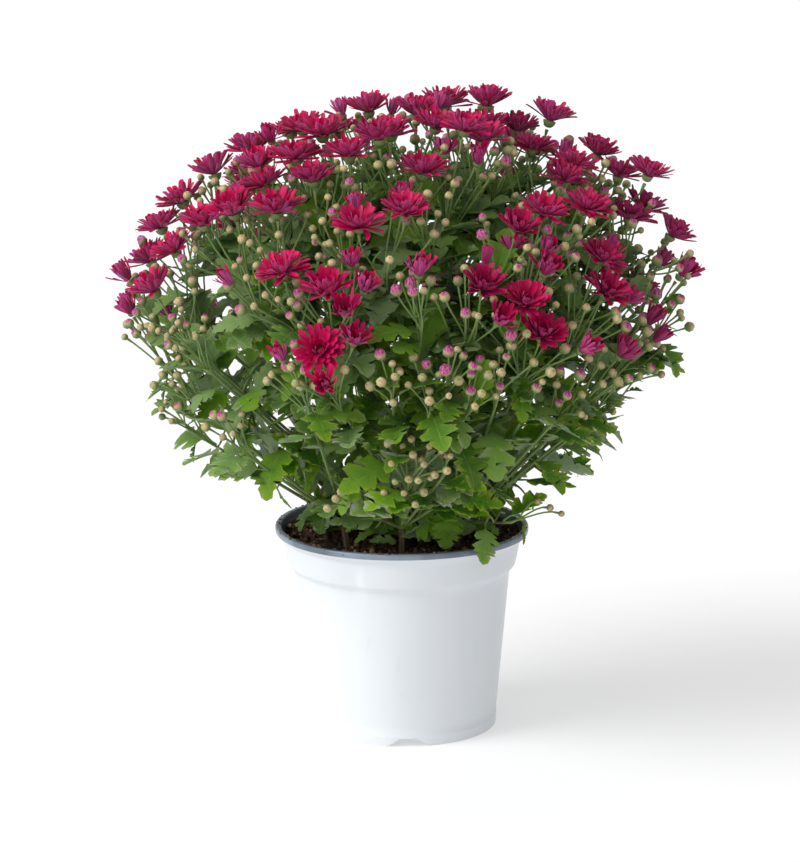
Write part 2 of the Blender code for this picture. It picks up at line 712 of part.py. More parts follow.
def leaf_solid(leaf, collection):
    """A stalk that widens into a blade of five cut lobes, thick at the rib, thin at the edge, arched down."""
    length = leaf.length
    outline = ((0.26, 0.045), (0.42, 0.30), (0.52, 0.13), (0.74, 0.32), (0.80, 0.12))
    rib = (0.24, 0.52, 0.80)
    thick = 0.0005
    stalk = 0.0008

    def at(along, side, up):
        arch = -0.30 * length * along * along - 0.10 * abs(side) * length
        return (along * length, side * length, up + arch)

    points = [(0, stalk, stalk), (0, -stalk, stalk), (0, 0, -stalk)]
    points += [at(a, 0.0, thick) for a in rib] + [at(a, 0.0, -thick) for a in rib]
    points += [at(a, s, 0.0) for a, s in outline] + [at(a, -s, 0.0) for a, s in outline]
    points.append(at(1.0, 0.0, 0.0))
    top, under, left, right, tip = (3, 4, 5), (6, 7, 8), range(9, 14), range(14, 19), 19
    faces = [(0, 2, 1), (0, 1, top[0]), (0, top[0], left[0]), (1, right[0], top[0])]
    faces += [(0, left[0], under[0]), (0, under[0], 2), (1, 2, under[0]), (1, under[0], right[0])]
    for edge, face, turn in ((left, top, 1), (right, top, -1), (left, under, -1), (right, under, 1)):
        fan = [
            (face[0], edge[0], edge[1]), (face[0], edge[1], edge[2]), (face[0], edge[2], face[1]),
            (face[1], edge[2], edge[3]), (face[1], edge[3], edge[4]), (face[1], edge[4], face[2]),
            (face[2], edge[4], tip),
        ]
        faces += [f[::-turn] for f in fan]
    side = np.cross(leaf.face, leaf.heading)
    points = np.array(points)
    set_points = leaf.foot + points[:, :1] * leaf.heading + points[:, 1:2] * side + points[:, 2:3] * leaf.face
    return solid(leaf.key, set_points, faces, collection)


def head_of(bunch, shoot, bloom):
    """Corners and radii of a stalk above its root: the green cup under a bloom, or a closed bud."""
    if bloom.kind == "bud":
        up = bloom.facing * bloom.radius
        points = [bloom.foot - up, bloom.foot, bloom.foot + 0.9 * up]
        return points, [STALK_RADIUS, bloom.radius, 0.45 * bloom.radius]
    neck = stalk_line(bunch, bloom, shoot)[1]
    return [neck, bloom.foot - SEAT * bloom.facing], [STALK_RADIUS, CALYX_RADIUS]


def stalk(bunch, shoot, bloom, collection):
    """A stalk from the fork with its cup or bud."""
    points, radii = head_of(bunch, shoot, bloom)
    root = stalk_line(bunch, bloom, shoot)[0]
    return tube(f"{bloom.key}-stalk", [root] + points, [STALK_RADIUS] + radii, collection)


def bend_of(path):
    """How far a branch's bend lies off the straight line between its ends."""
    return np.linalg.norm(path[1] - 0.5 * (path[0] + path[2]))


def branch(bunch, shoot, collection):
    """A branch that runs on past its fork as the first stalk of the bunch."""
    path = branch_path(bunch, shoot)
    if bunch.opened + bunch.half_open == 0 or bend_of(path) < STRAIGHT:
        path = path[[0, 2]]
    lead = bunch.heads[0]
    if lead.kind == "half":
        return half_open_solid(lead, path, BRANCH_RADIUS, collection)
    more, more_radii = head_of(bunch, shoot, lead)
    return tube(f"{bunch.key}-branch", [*path, *more], [BRANCH_RADIUS] * len(path) + more_radii, collection)


class Clearance:
    """Remembers every piece by its node, so that pieces of two nodes never cross."""

    MARGIN = 0.00012

    def __init__(self):
        self.pieces = []

    @staticmethod
    def shape(obj):
        """The piece's search tree and the corners of its box."""
        points = np.array([obj.matrix_world @ v.co for v in obj.data.vertices])
        faces = [tuple(p.vertices) for p in obj.data.polygons]
        tree = BVHTree.FromPolygons([tuple(p) for p in points], faces, epsilon=Clearance.MARGIN)
        return tree, points.min(0), points.max(0)

    def crossed(self, obj):
        """The node of every piece that this one crosses."""
        tree, low, high = self.shape(obj)
        return [
            node
            for node, other, other_low, other_high in self.pieces
            if (low <= other_high).all() and (high >= other_low).all() and tree.overlap(other)
        ]

    def add(self, obj, node):
        """Keeps the piece's place."""
        self.pieces.append((node, *self.shape(obj)))


def joined(name, pieces, collection):
    """The pieces made one body by a Boolean union on their collection."""
    body = pieces[0]
    body.name = name
    for holder in body.users_collection:
        holder.objects.unlink(body)
    collection.objects.link(body)
    if len(pieces) > 1:
        repeats = new_collection(f"{name} repeats")
        for piece in pieces[1:]:
            for holder in piece.users_collection:
                holder.objects.unlink(piece)
            repeats.objects.link(piece)
        union = body.modifiers.new("Union", "BOOLEAN")
        union.operation = "UNION"
        union.operand_type = "COLLECTION"
        union.collection = repeats
        union.solver = "MANIFOLD"
        bpy.context.view_layer.update()
        graph = bpy.context.evaluated_depsgraph_get()
        body.data = bpy.data.meshes.new_from_object(body.evaluated_get(graph))
        body.modifiers.clear()
        for piece in pieces[1:]:
            discard(piece)
        bpy.data.collections.remove(repeats)
        flat = body.modifiers.new("Flat seams", "DECIMATE")
        flat.decimate_type = "DISSOLVE"
        flat.angle_limit = math.radians(1.0)
    body.data.name = name
    return body


def cut(body, cutters):
    """Cuts every cutter out of a body."""
    tools = new_collection(f"{body.name} cutters")
    for cutter in cutters:
        for holder in cutter.users_collection:
            holder.objects.unlink(cutter)
        tools.objects.link(cutter)
        cutter.hide_render = True
        cutter.display_type = "WIRE"
    carve = body.modifiers.new("Cut", "BOOLEAN")
    carve.operation = "DIFFERENCE"
    carve.operand_type = "COLLECTION"
    carve.collection = tools
    bpy.context.view_layer.update()
    graph = bpy.context.evaluated_depsgraph_get()
    body.data = bpy.data.meshes.new_from_object(body.evaluated_get(graph))
    body.modifiers.clear()
    for cutter in cutters:
        discard(cutter)
    bpy.data.collections.remove(tools)


def finish(name, colour, roughness):
    """A plain Principled material."""
    material = bpy.data.materials.new(name)
    material.use_nodes = True
    shader = material.node_tree.nodes["Principled BSDF"]
    shader.inputs["Base Color"].default_value = (*colour, 1.0)
    shader.inputs["Roughness"].default_value = roughness
    return material


def wall_radius(height):
    """Outside radius of the tapering wall between foot band and collar."""
    foot = FOOT_RADIUS - 0.0004
    return foot + (WALL_TOP_RADIUS - foot) * (height - FOOT_BAND) / (WALL_TOP - FOOT_BAND)


def round_smooth(obj):
    """Shades a round piece smooth but for its corners."""
    obj.data.shade_smooth()
    obj.data.set_sharp_from_angle(angle=math.radians(30))


def pot_profile():
    """Radius and height from the middle of the floor's top, up inside, over the rim and down outside."""
    return [
        (0.0, FLOOR_HEIGHT + WALL),
        (FOOT_RADIUS - 0.004, FLOOR_HEIGHT + WALL),
        (WALL_TOP_RADIUS - WALL, WALL_TOP + 0.0006),
        (COLLAR_FOOT_RADIUS - WALL, COLLAR_FOOT + 0.0006),
        (COLLAR_RADIUS - WALL, COLLAR_TOP + 0.0004),
        (RIM_INSIDE, POT_HEIGHT - 0.0006),
        (RIM_INSIDE + 0.0008, POT_HEIGHT),
        (RIM_RADIUS - 0.0008, POT_HEIGHT),
        (RIM_RADIUS, POT_HEIGHT - 0.0012),
        (RIM_RADIUS - 0.0002, POT_HEIGHT - RIM_BAND),
        (COLLAR_RADIUS, COLLAR_TOP),
        (COLLAR_FOOT_RADIUS, COLLAR_FOOT),
        (WALL_TOP_RADIUS, WALL_TOP),
        (wall_radius(FOOT_BAND), FOOT_BAND),
        (FOOT_RADIUS, FOOT_BAND - 0.001),
        (FOOT_RADIUS - 0.0004, 0.0),
        (FOOT_RADIUS - 0.0026, 0.0),
        (FOOT_RADIUS - 0.0036, FLOOR_HEIGHT),
        (0.0, FLOOR_HEIGHT),
    ]


def notch_cutters():
    """Wedges wider at the floor, for the notches round the foot ring."""
    made = []
    for n in range(FOOT_NOTCHES):
        angle = 2 * math.pi * n / FOOT_NOTCHES + math.radians(4)
        out = Vector((math.sin(angle), -math.cos(angle), 0.0))
        side = Vector((math.cos(angle), math.sin(angle), 0.0))
        bpy.ops.mesh.primitive_cube_add(size=1.0)
        notch = bpy.context.active_object
        for corner in notch.data.vertices:
            low = corner.co.z < 0
            wide = NOTCH_FOOT * 1.06 if low else NOTCH_TOP
            height = Vector((0.0, 0.0, -0.001 if low else NOTCH_HEIGHT))
            reach = FOOT_RADIUS + (-0.012 if corner.co.x < 0 else 0.010)
            corner.co = out * reach + side * wide * corner.co.y + height
        made.append(notch)
    return made


def drain_cutters():
    """Drills for the drain holes in the raised floor."""
    made = []
    for n in range(DRAIN_HOLES):
        angle = 2 * math.pi * (n + 0.5) / DRAIN_HOLES
        at = (DRAIN_RING * math.sin(angle), -DRAIN_RING * math.cos(angle), FLOOR_HEIGHT)
        bpy.ops.mesh.primitive_cylinder_add(vertices=6, radius=DRAIN_RADIUS, depth=0.008, location=at)
        drill = bpy.context.active_object
        drill.data.transform(drill.matrix_world)
        drill.matrix_world = Matrix.Identity(4)
        made.append(drill)
    return made


def make_pot(collection):
    """One thin shell: raised floor, foot ring with notches, wall, collar and a rim turned out."""
    pot = turned("pot", pot_profile(), POT_SIDES, collection)
    cut(pot, notch_cutters() + drain_cutters())
    round_smooth(pot)
    return pot


def make_soil(all_shoots, collection):
    """The root ball: it fills the pot, mounds a little, and has a hole for each shoot."""
    foot = FLOOR_HEIGHT + WALL + SEAT
    inset = WALL + 0.0012
    profile = [
        (0.0, SOIL_CROWN),
        (0.030, SOIL_CROWN - 0.0005),
        (0.058, SOIL_EDGE + 0.0012),
        (COLLAR_RADIUS - inset - 0.0008, SOIL_EDGE - 0.0015),
        (COLLAR_FOOT_RADIUS - inset - 0.0004, COLLAR_FOOT + 0.0014),
        (WALL_TOP_RADIUS - inset, WALL_TOP + 0.0014),
        (FOOT_RADIUS - 0.0050, foot),
        (0.0, foot),
    ]
    soil = turned("soil", profile, SOIL_SIDES, collection)
    for vertex in soil.data.vertices:
        if vertex.co.z > SOIL_EDGE - 0.001 and vertex.co.xy.length < COLLAR_FOOT_RADIUS - 0.008:
            swell = math.sin(vertex.co.x * 170.0) * math.cos(vertex.co.y * 140.0)
            vertex.co.z += 0.0012 * swell
    drills = []
    for shoot in all_shoots:
        way = unit(shoot.at(STEM_SHARES[1]) - shoot.at(0.0))
        low = shoot.at(0.0) - way * 0.0008
        high = low + way * (HOLE_DEPTH + 0.010)
        width = (shoot.radius(0.0) + 0.0004) / math.cos(math.pi / 4)
        drills.append(tube(f"hole{shoot.index}", [low, high], [width, width], collection))
    cut(soil, drills)
    round_smooth(soil)
    return soil


def shoot_node(index):
    """The name of a shoot's node."""
    return f"leafy_shoot_{index:02d}"


def stem_solid(shoot, collection):
    """The main stem, its foot sunk in its hole in the soil."""
    points = [shoot.at(share) for share in STEM_SHARES]
    radii = [shoot.radius(share) for share in STEM_SHARES]
    return tube(shoot_node(shoot.index), points, radii, collection)


def grow_green(all_bunches, stems, clearance, collection):
    """Stems, branches and the stalks of open and half-open blooms: the pieces that every node keeps."""
    pieces = {shoot.index: [] for shoot in stems}
    for shoot in stems:
        pieces[shoot.index].append(stem_solid(shoot, collection))
    for bunch in all_bunches:
        shoot = stems[bunch.shoot]
        made = [branch(bunch, shoot, collection)]
        made += [stalk(bunch, shoot, bloom, collection) for bloom in bunch.of("open")[1:]]
        made += [
            half_open_solid(bloom, stalk_line(bunch, bloom, shoot)[:1], STALK_RADIUS, collection)
            for bloom in bunch.of("half")
            if bloom is not bunch.heads[0]
        ]
        pieces[bunch.shoot] += made
    for index, made in pieces.items():
        for piece in made:
            clearance.add(piece, shoot_node(index))
    return pieces


class Offers:
    """Takes buds and leaves into a shoot where they cross nothing but the stem that they grow from."""

    def __init__(self, pieces, clearance):
        self.pieces = pieces
        self.clearance = clearance
        self.taken = 0

    def take(self, piece, index):
        """Keeps the piece in its shoot, or takes it out of the file."""
        if self.clearance.crossed(piece) != [shoot_node(index)]:
            discard(piece)
            return
        self.taken += 1
        self.clearance.add(piece, shoot_node(index))
        self.pieces[index].append(piece)


def grow_buds(all_bunches, stems, pieces, clearance, collection):
    """Buds, one from each bunch in turn, so that they come evenly all over the plant."""
    offers = Offers(pieces, clearance)
    for turn in range(3):
        for bunch in all_bunches:
            buds = [bud for bud in bunch.of("bud") if bud is not bunch.heads[0]]
            if turn < len(buds) and offers.taken < MOST_BUDS:
                offers.take(stalk(bunch, stems[bunch.shoot], buds[turn], collection), bunch.shoot)


def grow_leaves(all_bunches, stems, pieces, clearance, collection):
    """Large leaves on the outer half of the branches, in a mixed order, so that no side has more."""
    offers = Offers(pieces, clearance)
    wanted = [
        (draws("order", leaf.key).random(), leaf.key, leaf, bunch.shoot)
        for bunch in all_bunches
        for leaf in branch_leaves(bunch, stems[bunch.shoot])
        if np.linalg.norm((leaf.foot - CROWN_MIDDLE) / crown_axes(leaf.foot[2] - CROWN_MIDDLE[2])) > 0.5
    ]
    for _, _, leaf, index in sorted(wanted, key=lambda found: found[:2]):
        if offers.taken < MOST_LEAVES:
            offers.take(leaf_solid(leaf, collection), index)


def grow_blooms(all_bunches, clearance, collection):
    """The open blooms: the first ones by themselves, the rest with the bunch whose shoot carries them."""
    blooms = [(bunch, bloom) for bunch in all_bunches for bloom in bunch.of("open")]
    alone = [bloom_solid(bloom, collection) for _, bloom in blooms[:MOST_BLOOM_NODES]]
    for n, petals in enumerate(alone):
        petals.name = f"bloom_{n:02d}"
        clearance.add(petals, petals.name)
    return alone, blooms[MOST_BLOOM_NODES:]


def fuse_blooms(carried, pieces, clearance, collection):
    """Petals of the blooms that a shoot carries in its own node, pressed on to their green cups."""
    for bunch, bloom in carried:
        petals = bloom_solid(bloom, collection)
        petals.data.transform(Matrix.Translation(Vector(-0.0008 * bloom.facing)))
        clearance.add(petals, shoot_node(bunch.shoot))
        pieces[bunch.shoot].append(petals)


def paint(obj, material):
    """Gives a node its own copy of a material, and no other."""
    obj.data.materials.clear()
    obj.data.materials.append(material)


def main():
    """Clears the scene, grows the plant and builds every node."""
    for old in list(bpy.data.objects):
        bpy.data.objects.remove(old, do_unlink=True)
    plant = new_collection("Pot chrysanthemum")
    spare = new_collection("Loose pieces")
    clearance = Clearance()
    stems, all_bunches = grown()
    pot = make_pot(plant)
    soil = make_soil(stems, plant)
    clearance.add(pot, "pot")
    clearance.add(soil, "soil")
    alone, carried = grow_blooms(all_bunches, clearance, spare)
    pieces = grow_green(all_bunches, stems, clearance, spare)
    fuse_blooms(carried, pieces, clearance, spare)
    grow_buds(all_bunches, stems, pieces, clearance, spare)
    grow_leaves(all_bunches, stems, pieces, clearance, spare)

    paint(pot, finish("Pot white", (0.85, 0.86, 0.88), 0.35))
    paint(soil, finish("Soil brown", (0.06, 0.04, 0.03), 0.95))
    for petals in alone:
        paint(joined(petals.name, [petals], plant), finish("Petal crimson", (0.45, 0.01, 0.05), 0.5))
    for index, made in pieces.items():
        paint(joined(shoot_node(index), made, plant), finish("Leaf green", (0.10, 0.22, 0.06), 0.6))
    bpy.data.collections.remove(spare)


if __name__ == "__main__":
    main()
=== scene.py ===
"""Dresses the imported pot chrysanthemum: a dented white nursery pot, crumbly soil, woody and green stems,
lobed leaves, buds and crimson blooms.

The plant grows by the same rule and the same seeded draws as the CAD source, so each bloom, branch and
stalk stands where its solid stands. Metres, +Z up, the plant's front faces -Y.
"""

import sys
import enum
import logging
import math
import random
from collections.abc import Iterable, Sequence
from dataclasses import dataclass, field

import bmesh
import bpy
import numpy as np
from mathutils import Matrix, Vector


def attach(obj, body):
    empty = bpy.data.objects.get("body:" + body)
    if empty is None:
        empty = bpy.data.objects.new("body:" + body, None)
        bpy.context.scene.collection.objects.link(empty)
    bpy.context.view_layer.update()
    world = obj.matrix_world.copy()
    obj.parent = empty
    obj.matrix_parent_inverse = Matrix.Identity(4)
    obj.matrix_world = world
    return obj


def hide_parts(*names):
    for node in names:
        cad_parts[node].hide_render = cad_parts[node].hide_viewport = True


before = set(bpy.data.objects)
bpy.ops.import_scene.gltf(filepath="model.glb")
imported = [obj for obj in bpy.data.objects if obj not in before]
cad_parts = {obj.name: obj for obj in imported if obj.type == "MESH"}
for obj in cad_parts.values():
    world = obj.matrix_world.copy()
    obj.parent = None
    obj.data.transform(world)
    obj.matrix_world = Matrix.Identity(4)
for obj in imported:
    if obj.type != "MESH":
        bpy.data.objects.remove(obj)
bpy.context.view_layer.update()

BODY = "root"
LOG = logging.getLogger("chrysanthemum")

Array = np.ndarray
Draws = np.random.Generator
Place = tuple[float, float, float]
Pairs = tuple[tuple[float, float], ...]
Object = bpy.types.Object
Material = bpy.types.Material
Socket = bpy.types.NodeSocket
Colour = tuple[float, float, float]

SEED = 11
GOLDEN_ANGLE = math.radians(137.508)
UP = np.array((0.0, 0.0, 1.0))
TURN = 2 * math.pi


# ---------------------------------------------------------------- growth, as in the CAD source

# Bunches on the side that is seen: millimetres across and up on the upright plane through the
# pot's axis, then how many blooms are open and how many half open.
SEEN_BUNCHES = (
    (-25, 464, 1, 2), (-78, 450, 2, 1), (-114, 434, 1, 0), (-95, 423, 2, 0), (-53, 433, 2, 0),
    (-10, 442, 2, 0), (-141, 416, 1, 0), (-157, 405, 1, 0), (-104, 408, 1, 1), (-67, 410, 1, 0),
    (-137, 380, 2, 0), (-103, 383, 1, 0), (-181, 373, 1, 0), (-183, 352, 2, 0), (-188, 325, 1, 0),
    (-16, 379, 2, 0), (-91, 341, 1, 0), (-122, 348, 0, 1), (-57, 325, 1, 2), (-48, 387, 0, 1),
    (-48, 349, 0, 1), (10, 462, 1, 1), (43, 466, 2, 0), (44, 445, 2, 0), (79, 451, 2, 0),
    (102, 448, 1, 0), (5, 434, 1, 0), (37, 427, 1, 1), (59, 436, 0, 1), (113, 430, 2, 0),
    (146, 430, 1, 0), (134, 418, 0, 1), (150, 410, 1, 0), (168, 405, 1, 0), (128, 397, 2, 0),
    (110, 387, 1, 0), (88, 377, 1, 0), (187, 380, 3, 0), (19, 399, 0, 1), (9, 337, 0, 1),
    (105, 356, 0, 3), (151, 349, 1, 1), (154, 325, 1, 1), (62, 329, 1, 2), (94, 316, 1, 0),
    (107, 291, 1, 1), (-63, 280, 1, 2), (192, 352, 0, 1), (212, 347, 0, 1), (191, 298, 0, 2),
    (160, 271, 0, 1), (-207, 305, 0, 2), (-85, 271, 0, 1),
)
# Sprays of buds alone on that side: millimetres across and up, then how many buds.
SEEN_SPRAYS = (
    (-174, 303, 3), (-181, 263, 3), (-184, 234, 3), (-167, 292, 2), (-9, 266, 3), (40, 276, 2),
    (26, 260, 2), (58, 255, 2), (83, 270, 2), (107, 254, 1), (134, 247, 3), (212, 322, 2),
    (195, 283, 2), (182, 258, 1), (167, 252, 1), (-43, 168, 1), (99, 160, 1), (6, 188, 2),
    (22, 195, 2), (37, 193, 1), (52, 179, 1), (4, 174, 2),
)
SOIL_EDGE = 0.1415
SOIL_CROWN = 0.1445
HOLE_DEPTH = 0.022
POT_HEIGHT = 0.150
RIM_RADIUS = 0.0934
RIM_INSIDE = 0.0890
COLLAR_RADIUS = 0.0877
CROWN_MIDDLE = np.array((0.0, 0.0, 0.291))
CROWN_ACROSS = 0.195
CROWN_UP = 0.174
CROWN_DOWN = 0.121
EYE = np.array((0.0, -2.60, 0.804))
# The far side's bunches stand lower, and from this height up it has none of its own.
FAR_DROP = 0.011
FAR_TOP = 0.444
# Shoots, ring by ring: how many, height angle on the dome, distance of the hole from the axis.
SHOOT_RINGS = ((1, 88.0, 0.004), (5, 56.0, 0.027), (8, 20.0, 0.052))
SHOOT_REACH = 0.60
SHOOT_RADIUS = 0.0030
SHOOT_TIP = 0.0016
BRANCH_RADIUS = 0.0014
STALK_RADIUS = 0.0010
FORK_DEPTH = 0.044
STRAIGHT = 0.0035
ROUTE_GAP = 0.0009
NECK_GAP = 0.0006
BLOOM_RADIUS = 0.0185
FACE_HEIGHT = 0.009
CALYX_DEPTH = 0.0075
HALF_OPEN_RADIUS = 0.0083
BUD_RADIUS = 0.0040
BUD_SPRAYS = 22
BLOOM_NODES = 43
# Nearest that a bunch of the far side, and a spray of the rule, stands to another bunch.
FAR_APART = 0.039
SPRAY_APART = 0.034
# Tries for an open bloom and for a smaller head, the gap that a smaller one wants, and the least that an
# added bud needs.
OPEN_TRIES = 24
SMALL_TRIES = 16
SMALL_GAP = 0.0012
BUD_GAP = 0.0002
# How far the stalks of a branch stand apart along it.
STALK_STEP = 0.0035
LEAF_FLOOR = 0.158
LEAF_SLOPE = 0.62


class Kind(enum.Enum):
    """How far a flower head has opened."""

    OPEN = "open"
    HALF = "half"
    BUD = "bud"


def unit(vector: Array) -> Array:
    """The vector at length 1."""
    return vector / np.linalg.norm(vector)


def units(vectors: Array) -> Array:
    """Rows of vectors, each at length 1."""
    return vectors / np.maximum(np.linalg.norm(vectors, axis=-1, keepdims=True), 1e-12)


def draws(*names: object) -> random.Random:
    """A random source of its own for each named thing."""
    return random.Random("-".join(str(name) for name in (SEED, *names)))


def array_draws(*names: object) -> Draws:
    """A numpy random source of its own for each named thing."""
    return np.random.default_rng(draws(*names).getrandbits(64))


def across(direction: Array) -> tuple[Array, Array]:
    """Two unit vectors square to a direction.

    Args:
        direction: A unit vector.

    Returns:
        The two, square to each other.
    """
    side = np.cross(direction, UP)
    if np.linalg.norm(side) < 1e-3:
        side = np.array((1.0, 0.0, 0.0))
    side = unit(side)
    return side, np.cross(direction, side)


def crown_axes(height: float) -> Array:
    """Half-lengths of the dome's egg at that height above or below its middle."""
    return np.array((CROWN_ACROSS, CROWN_ACROSS, CROWN_UP if height >= 0 else CROWN_DOWN))


def crown_point(azimuth: float, rise: float, depth: float = 1.0) -> Array:
    """Point of the dome at an azimuth from the front and a height angle, or that share of the way out."""
    way = np.array((math.sin(azimuth) * math.cos(rise), -math.cos(azimuth) * math.cos(rise), math.sin(rise)))
    return CROWN_MIDDLE + way * crown_axes(way[2]) * depth


def crown_normal(point: Array) -> Array:
    """Outward direction of the dome nearest to a point."""
    offset = point - CROWN_MIDDLE
    return unit(offset / crown_axes(offset[2]) ** 2)


def seen_on_crown(x: float, z: float) -> Array:
    """Where the line of sight through (x, 0, z) first meets the dome, or passes closest to it.

    Args:
        x: Metres across.
        z: Metres up.

    Returns:
        The point.
    """
    target = np.array((x, 0.0, z))
    axes = crown_axes(z - CROWN_MIDDLE[2])
    start = (EYE - CROWN_MIDDLE) / axes
    way = (target - EYE) / axes
    nearest = -start @ way / (way @ way)
    inside = 1.0 - (start + nearest * way) @ (start + nearest * way)
    back = math.sqrt(max(inside, 0.0) / (way @ way))
    return EYE + (target - EYE) * (nearest - back)


def seen_foot(x: float, z: float) -> Array:
    """Where the foot of a bloom stands whose face is seen at (x, 0, z) in millimetres."""
    face = seen_on_crown(x / 1000, z / 1000)
    return face - FACE_HEIGHT * crown_normal(face)


@dataclass
class Head:
    """One bloom or bud: how far it has opened, its foot, the way it faces and its radius."""

    key: str
    kind: Kind
    foot: Array
    facing: Array
    radius: float


@dataclass
class Bunch:
    """Blooms and buds that share one branch, which parts from its shoot and ends at a fork."""

    key: str
    middle: Array
    opened: int
    half_open: int
    buds: int
    heads: list[Head] = field(default_factory=list)
    shoot: int = 0
    share: float = 0.5
    fork: Array | None = None

    def of(self, *kinds: Kind) -> list[Head]:
        """Its heads of these kinds."""
        return [head for head in self.heads if head.kind in kinds]

    @property
    def only_buds(self) -> bool:
        """Whether nothing of the bunch has opened."""
        return self.opened + self.half_open == 0


class Shoot:
    """A main stem: a smooth curve from its hole in the soil to its tip inside the dome."""

    def __init__(self, index: int, azimuth: float, rise: float, hole: float) -> None:
        """Sets the curve's three points.

        Args:
            index: Its number, as in its CAD node's name.
            azimuth: Angle round the pot's axis from the front.
            rise: Height angle of its tip on the dome.
            hole: Distance of its hole from the pot's axis.
        """
        self.index = index
        self.way = unit(crown_point(azimuth, rise) - CROWN_MIDDLE)
        outward = np.array((math.sin(azimuth), -math.cos(azimuth), 0.0))
        self.foot = outward * hole + np.array((0.0, 0.0, SOIL_EDGE - HOLE_DEPTH))
        self.tip = crown_point(azimuth, rise, SHOOT_REACH)
        rising = np.array((0.0, 0.0, 0.45 * (self.tip[2] - self.foot[2])))
        self.bend = self.foot + rising + outward * (0.30 * hole)

    def at(self, share: float) -> Array:
        """Point a share of the way along the stem."""
        rest = 1.0 - share
        return rest * rest * self.foot + 2 * rest * share * self.bend + share * share * self.tip

    def direction(self, share: float) -> Array:
        """Unit vector along the stem there."""
        return unit((1.0 - share) * (self.bend - self.foot) + share * (self.tip - self.bend))

    def parting(self, target: Array) -> float:
        """Share of the way along where a branch to the target leaves, lower for a target further out.

        Args:
            target: Where the branch goes.

        Returns:
            The share.
        """
        shares = np.linspace(0.22, 0.97, 26)
        points = np.array([self.at(share) for share in shares])
        reach = np.linalg.norm(points[:, :2] - target[:2], axis=1)
        wanted = target[2] - 0.85 * reach - 0.010
        return float(shares[np.argmin(np.abs(points[:, 2] - wanted))])


class Thicket:
    """What stands already, as balls that each belong to one owner, from the pot's rim up."""

    rim_balls = 120
    rim_ball = 0.0045
    # Balls are compared within this reach of each other, and count as this far apart past it.
    reach = 0.015
    far = 0.010

    def __init__(self) -> None:
        """Starts with balls round the pot's rim."""
        self.points = np.zeros((0, 3))
        self.radii = np.zeros(0)
        self.owners = np.zeros(0, int)
        self.names: dict[object, int] = {}
        angles = np.linspace(0, TURN, self.rim_balls, endpoint=False)
        level = np.full(self.rim_balls, POT_HEIGHT - 0.003)
        for ring in (RIM_INSIDE - 0.006, RIM_RADIUS - 0.004):
            rim = np.stack((ring * np.sin(angles), -ring * np.cos(angles), level), 1)
            self.add(rim, self.rim_ball, "pot")

    def number(self, owner: object) -> int:
        """A whole number for an owner's name."""
        return self.names.setdefault(owner, len(self.names))

    def add(self, points: Array, radii: Array | float, owner: object) -> None:
        """Keeps balls for an owner.

        Args:
            points: Their middles, one row each.
            radii: Their radii, or one radius for all.
            owner: The name that they belong to.
        """
        self.points = np.concatenate((self.points, points))
        self.radii = np.concatenate((self.radii, np.broadcast_to(radii, len(points))))
        self.owners = np.concatenate((self.owners, np.full(len(points), self.number(owner))))

    def gap(self, points: Array, radii: Array | float, *own: object) -> float:
        """Smallest gap between these balls and those of any owner but its own.

        Args:
            points: Middles of the new balls.
            radii: Their radii, or one radius for all.
            own: Owners that are left out.

        Returns:
            The gap in metres, below zero where balls overlap.
        """
        low, high = points.min(0) - self.reach, points.max(0) + self.reach
        near = ((self.points > low) & (self.points < high)).all(1)
        for owner in own:
            near &= self.owners != self.number(owner)
        if not near.any():
            return self.far
        apart = np.linalg.norm(points[:, None] - self.points[near][None], axis=2)
        return float((apart - np.reshape(radii, (-1, 1)) - self.radii[near]).min())


def facing_of(point: Array, source: random.Random) -> Array:
    """Blooms on top look up, those on the sides look up and out.

    Args:
        point: Where the head stands.
        source: Its random source.

    Returns:
        Its unit vector.
    """
    outward = crown_normal(point)
    top = min(max(outward[2], 0.0), 1.0)
    upright = np.array((0.0, 0.0, 0.45 + 0.55 * top))
    loose = np.array([source.uniform(-0.16, 0.16) for _ in range(3)])
    return unit((0.75 - 0.35 * top) * outward + upright + loose)


def neck_balls(head: Head) -> tuple[Array, Array]:
    """Balls down the first stretch of a bloom's stalk."""
    down = np.array((0.004, 0.0075, 0.011, 0.015, 0.019))
    return head.foot - np.outer(down, head.facing), np.array((0.0030, 0.0016, 0.0014, 0.0014, 0.0014))


def head_balls(head: Head) -> tuple[Array, Array]:
    """Balls that fill a bloom or bud.

    Args:
        head: The bloom or bud.

    Returns:
        The balls' middles and radii.
    """
    r = head.radius
    if head.kind is Kind.BUD:
        return np.array((head.foot,)), np.array((1.05 * r,))
    if head.kind is Kind.HALF:
        return head.foot + np.outer((0.5 * r, 1.3 * r), head.facing), np.array((0.70 * r, 0.85 * r))
    side, other = across(head.facing)
    points, radii = [head.foot + 0.35 * r * head.facing], [0.30 * r]
    for count, out, up, ball in ((8, 0.45, 0.32, 0.26), (14, 0.82, 0.40, 0.18)):
        for k in range(count):
            angle = TURN * k / count
            way = math.cos(angle) * side + math.sin(angle) * other
            points.append(head.foot + out * r * way + up * r * head.facing)
            radii.append(ball * r)
    return np.array(points), np.array(radii)


def balls(line: Array, spacing: float = 0.0025) -> Array:
    """Points along a line of corners, no further apart than the spacing.

    Args:
        line: The corners, one row each.
        spacing: The distance in metres.

    Returns:
        The points.
    """
    filled = [line[:1]]
    for a, b in zip(line[:-1], line[1:]):
        count = max(int(math.ceil(np.linalg.norm(b - a) / spacing)), 1)
        filled.append(a + (b - a) * (np.arange(1, count + 1) / count)[:, None])
    return np.concatenate(filled)


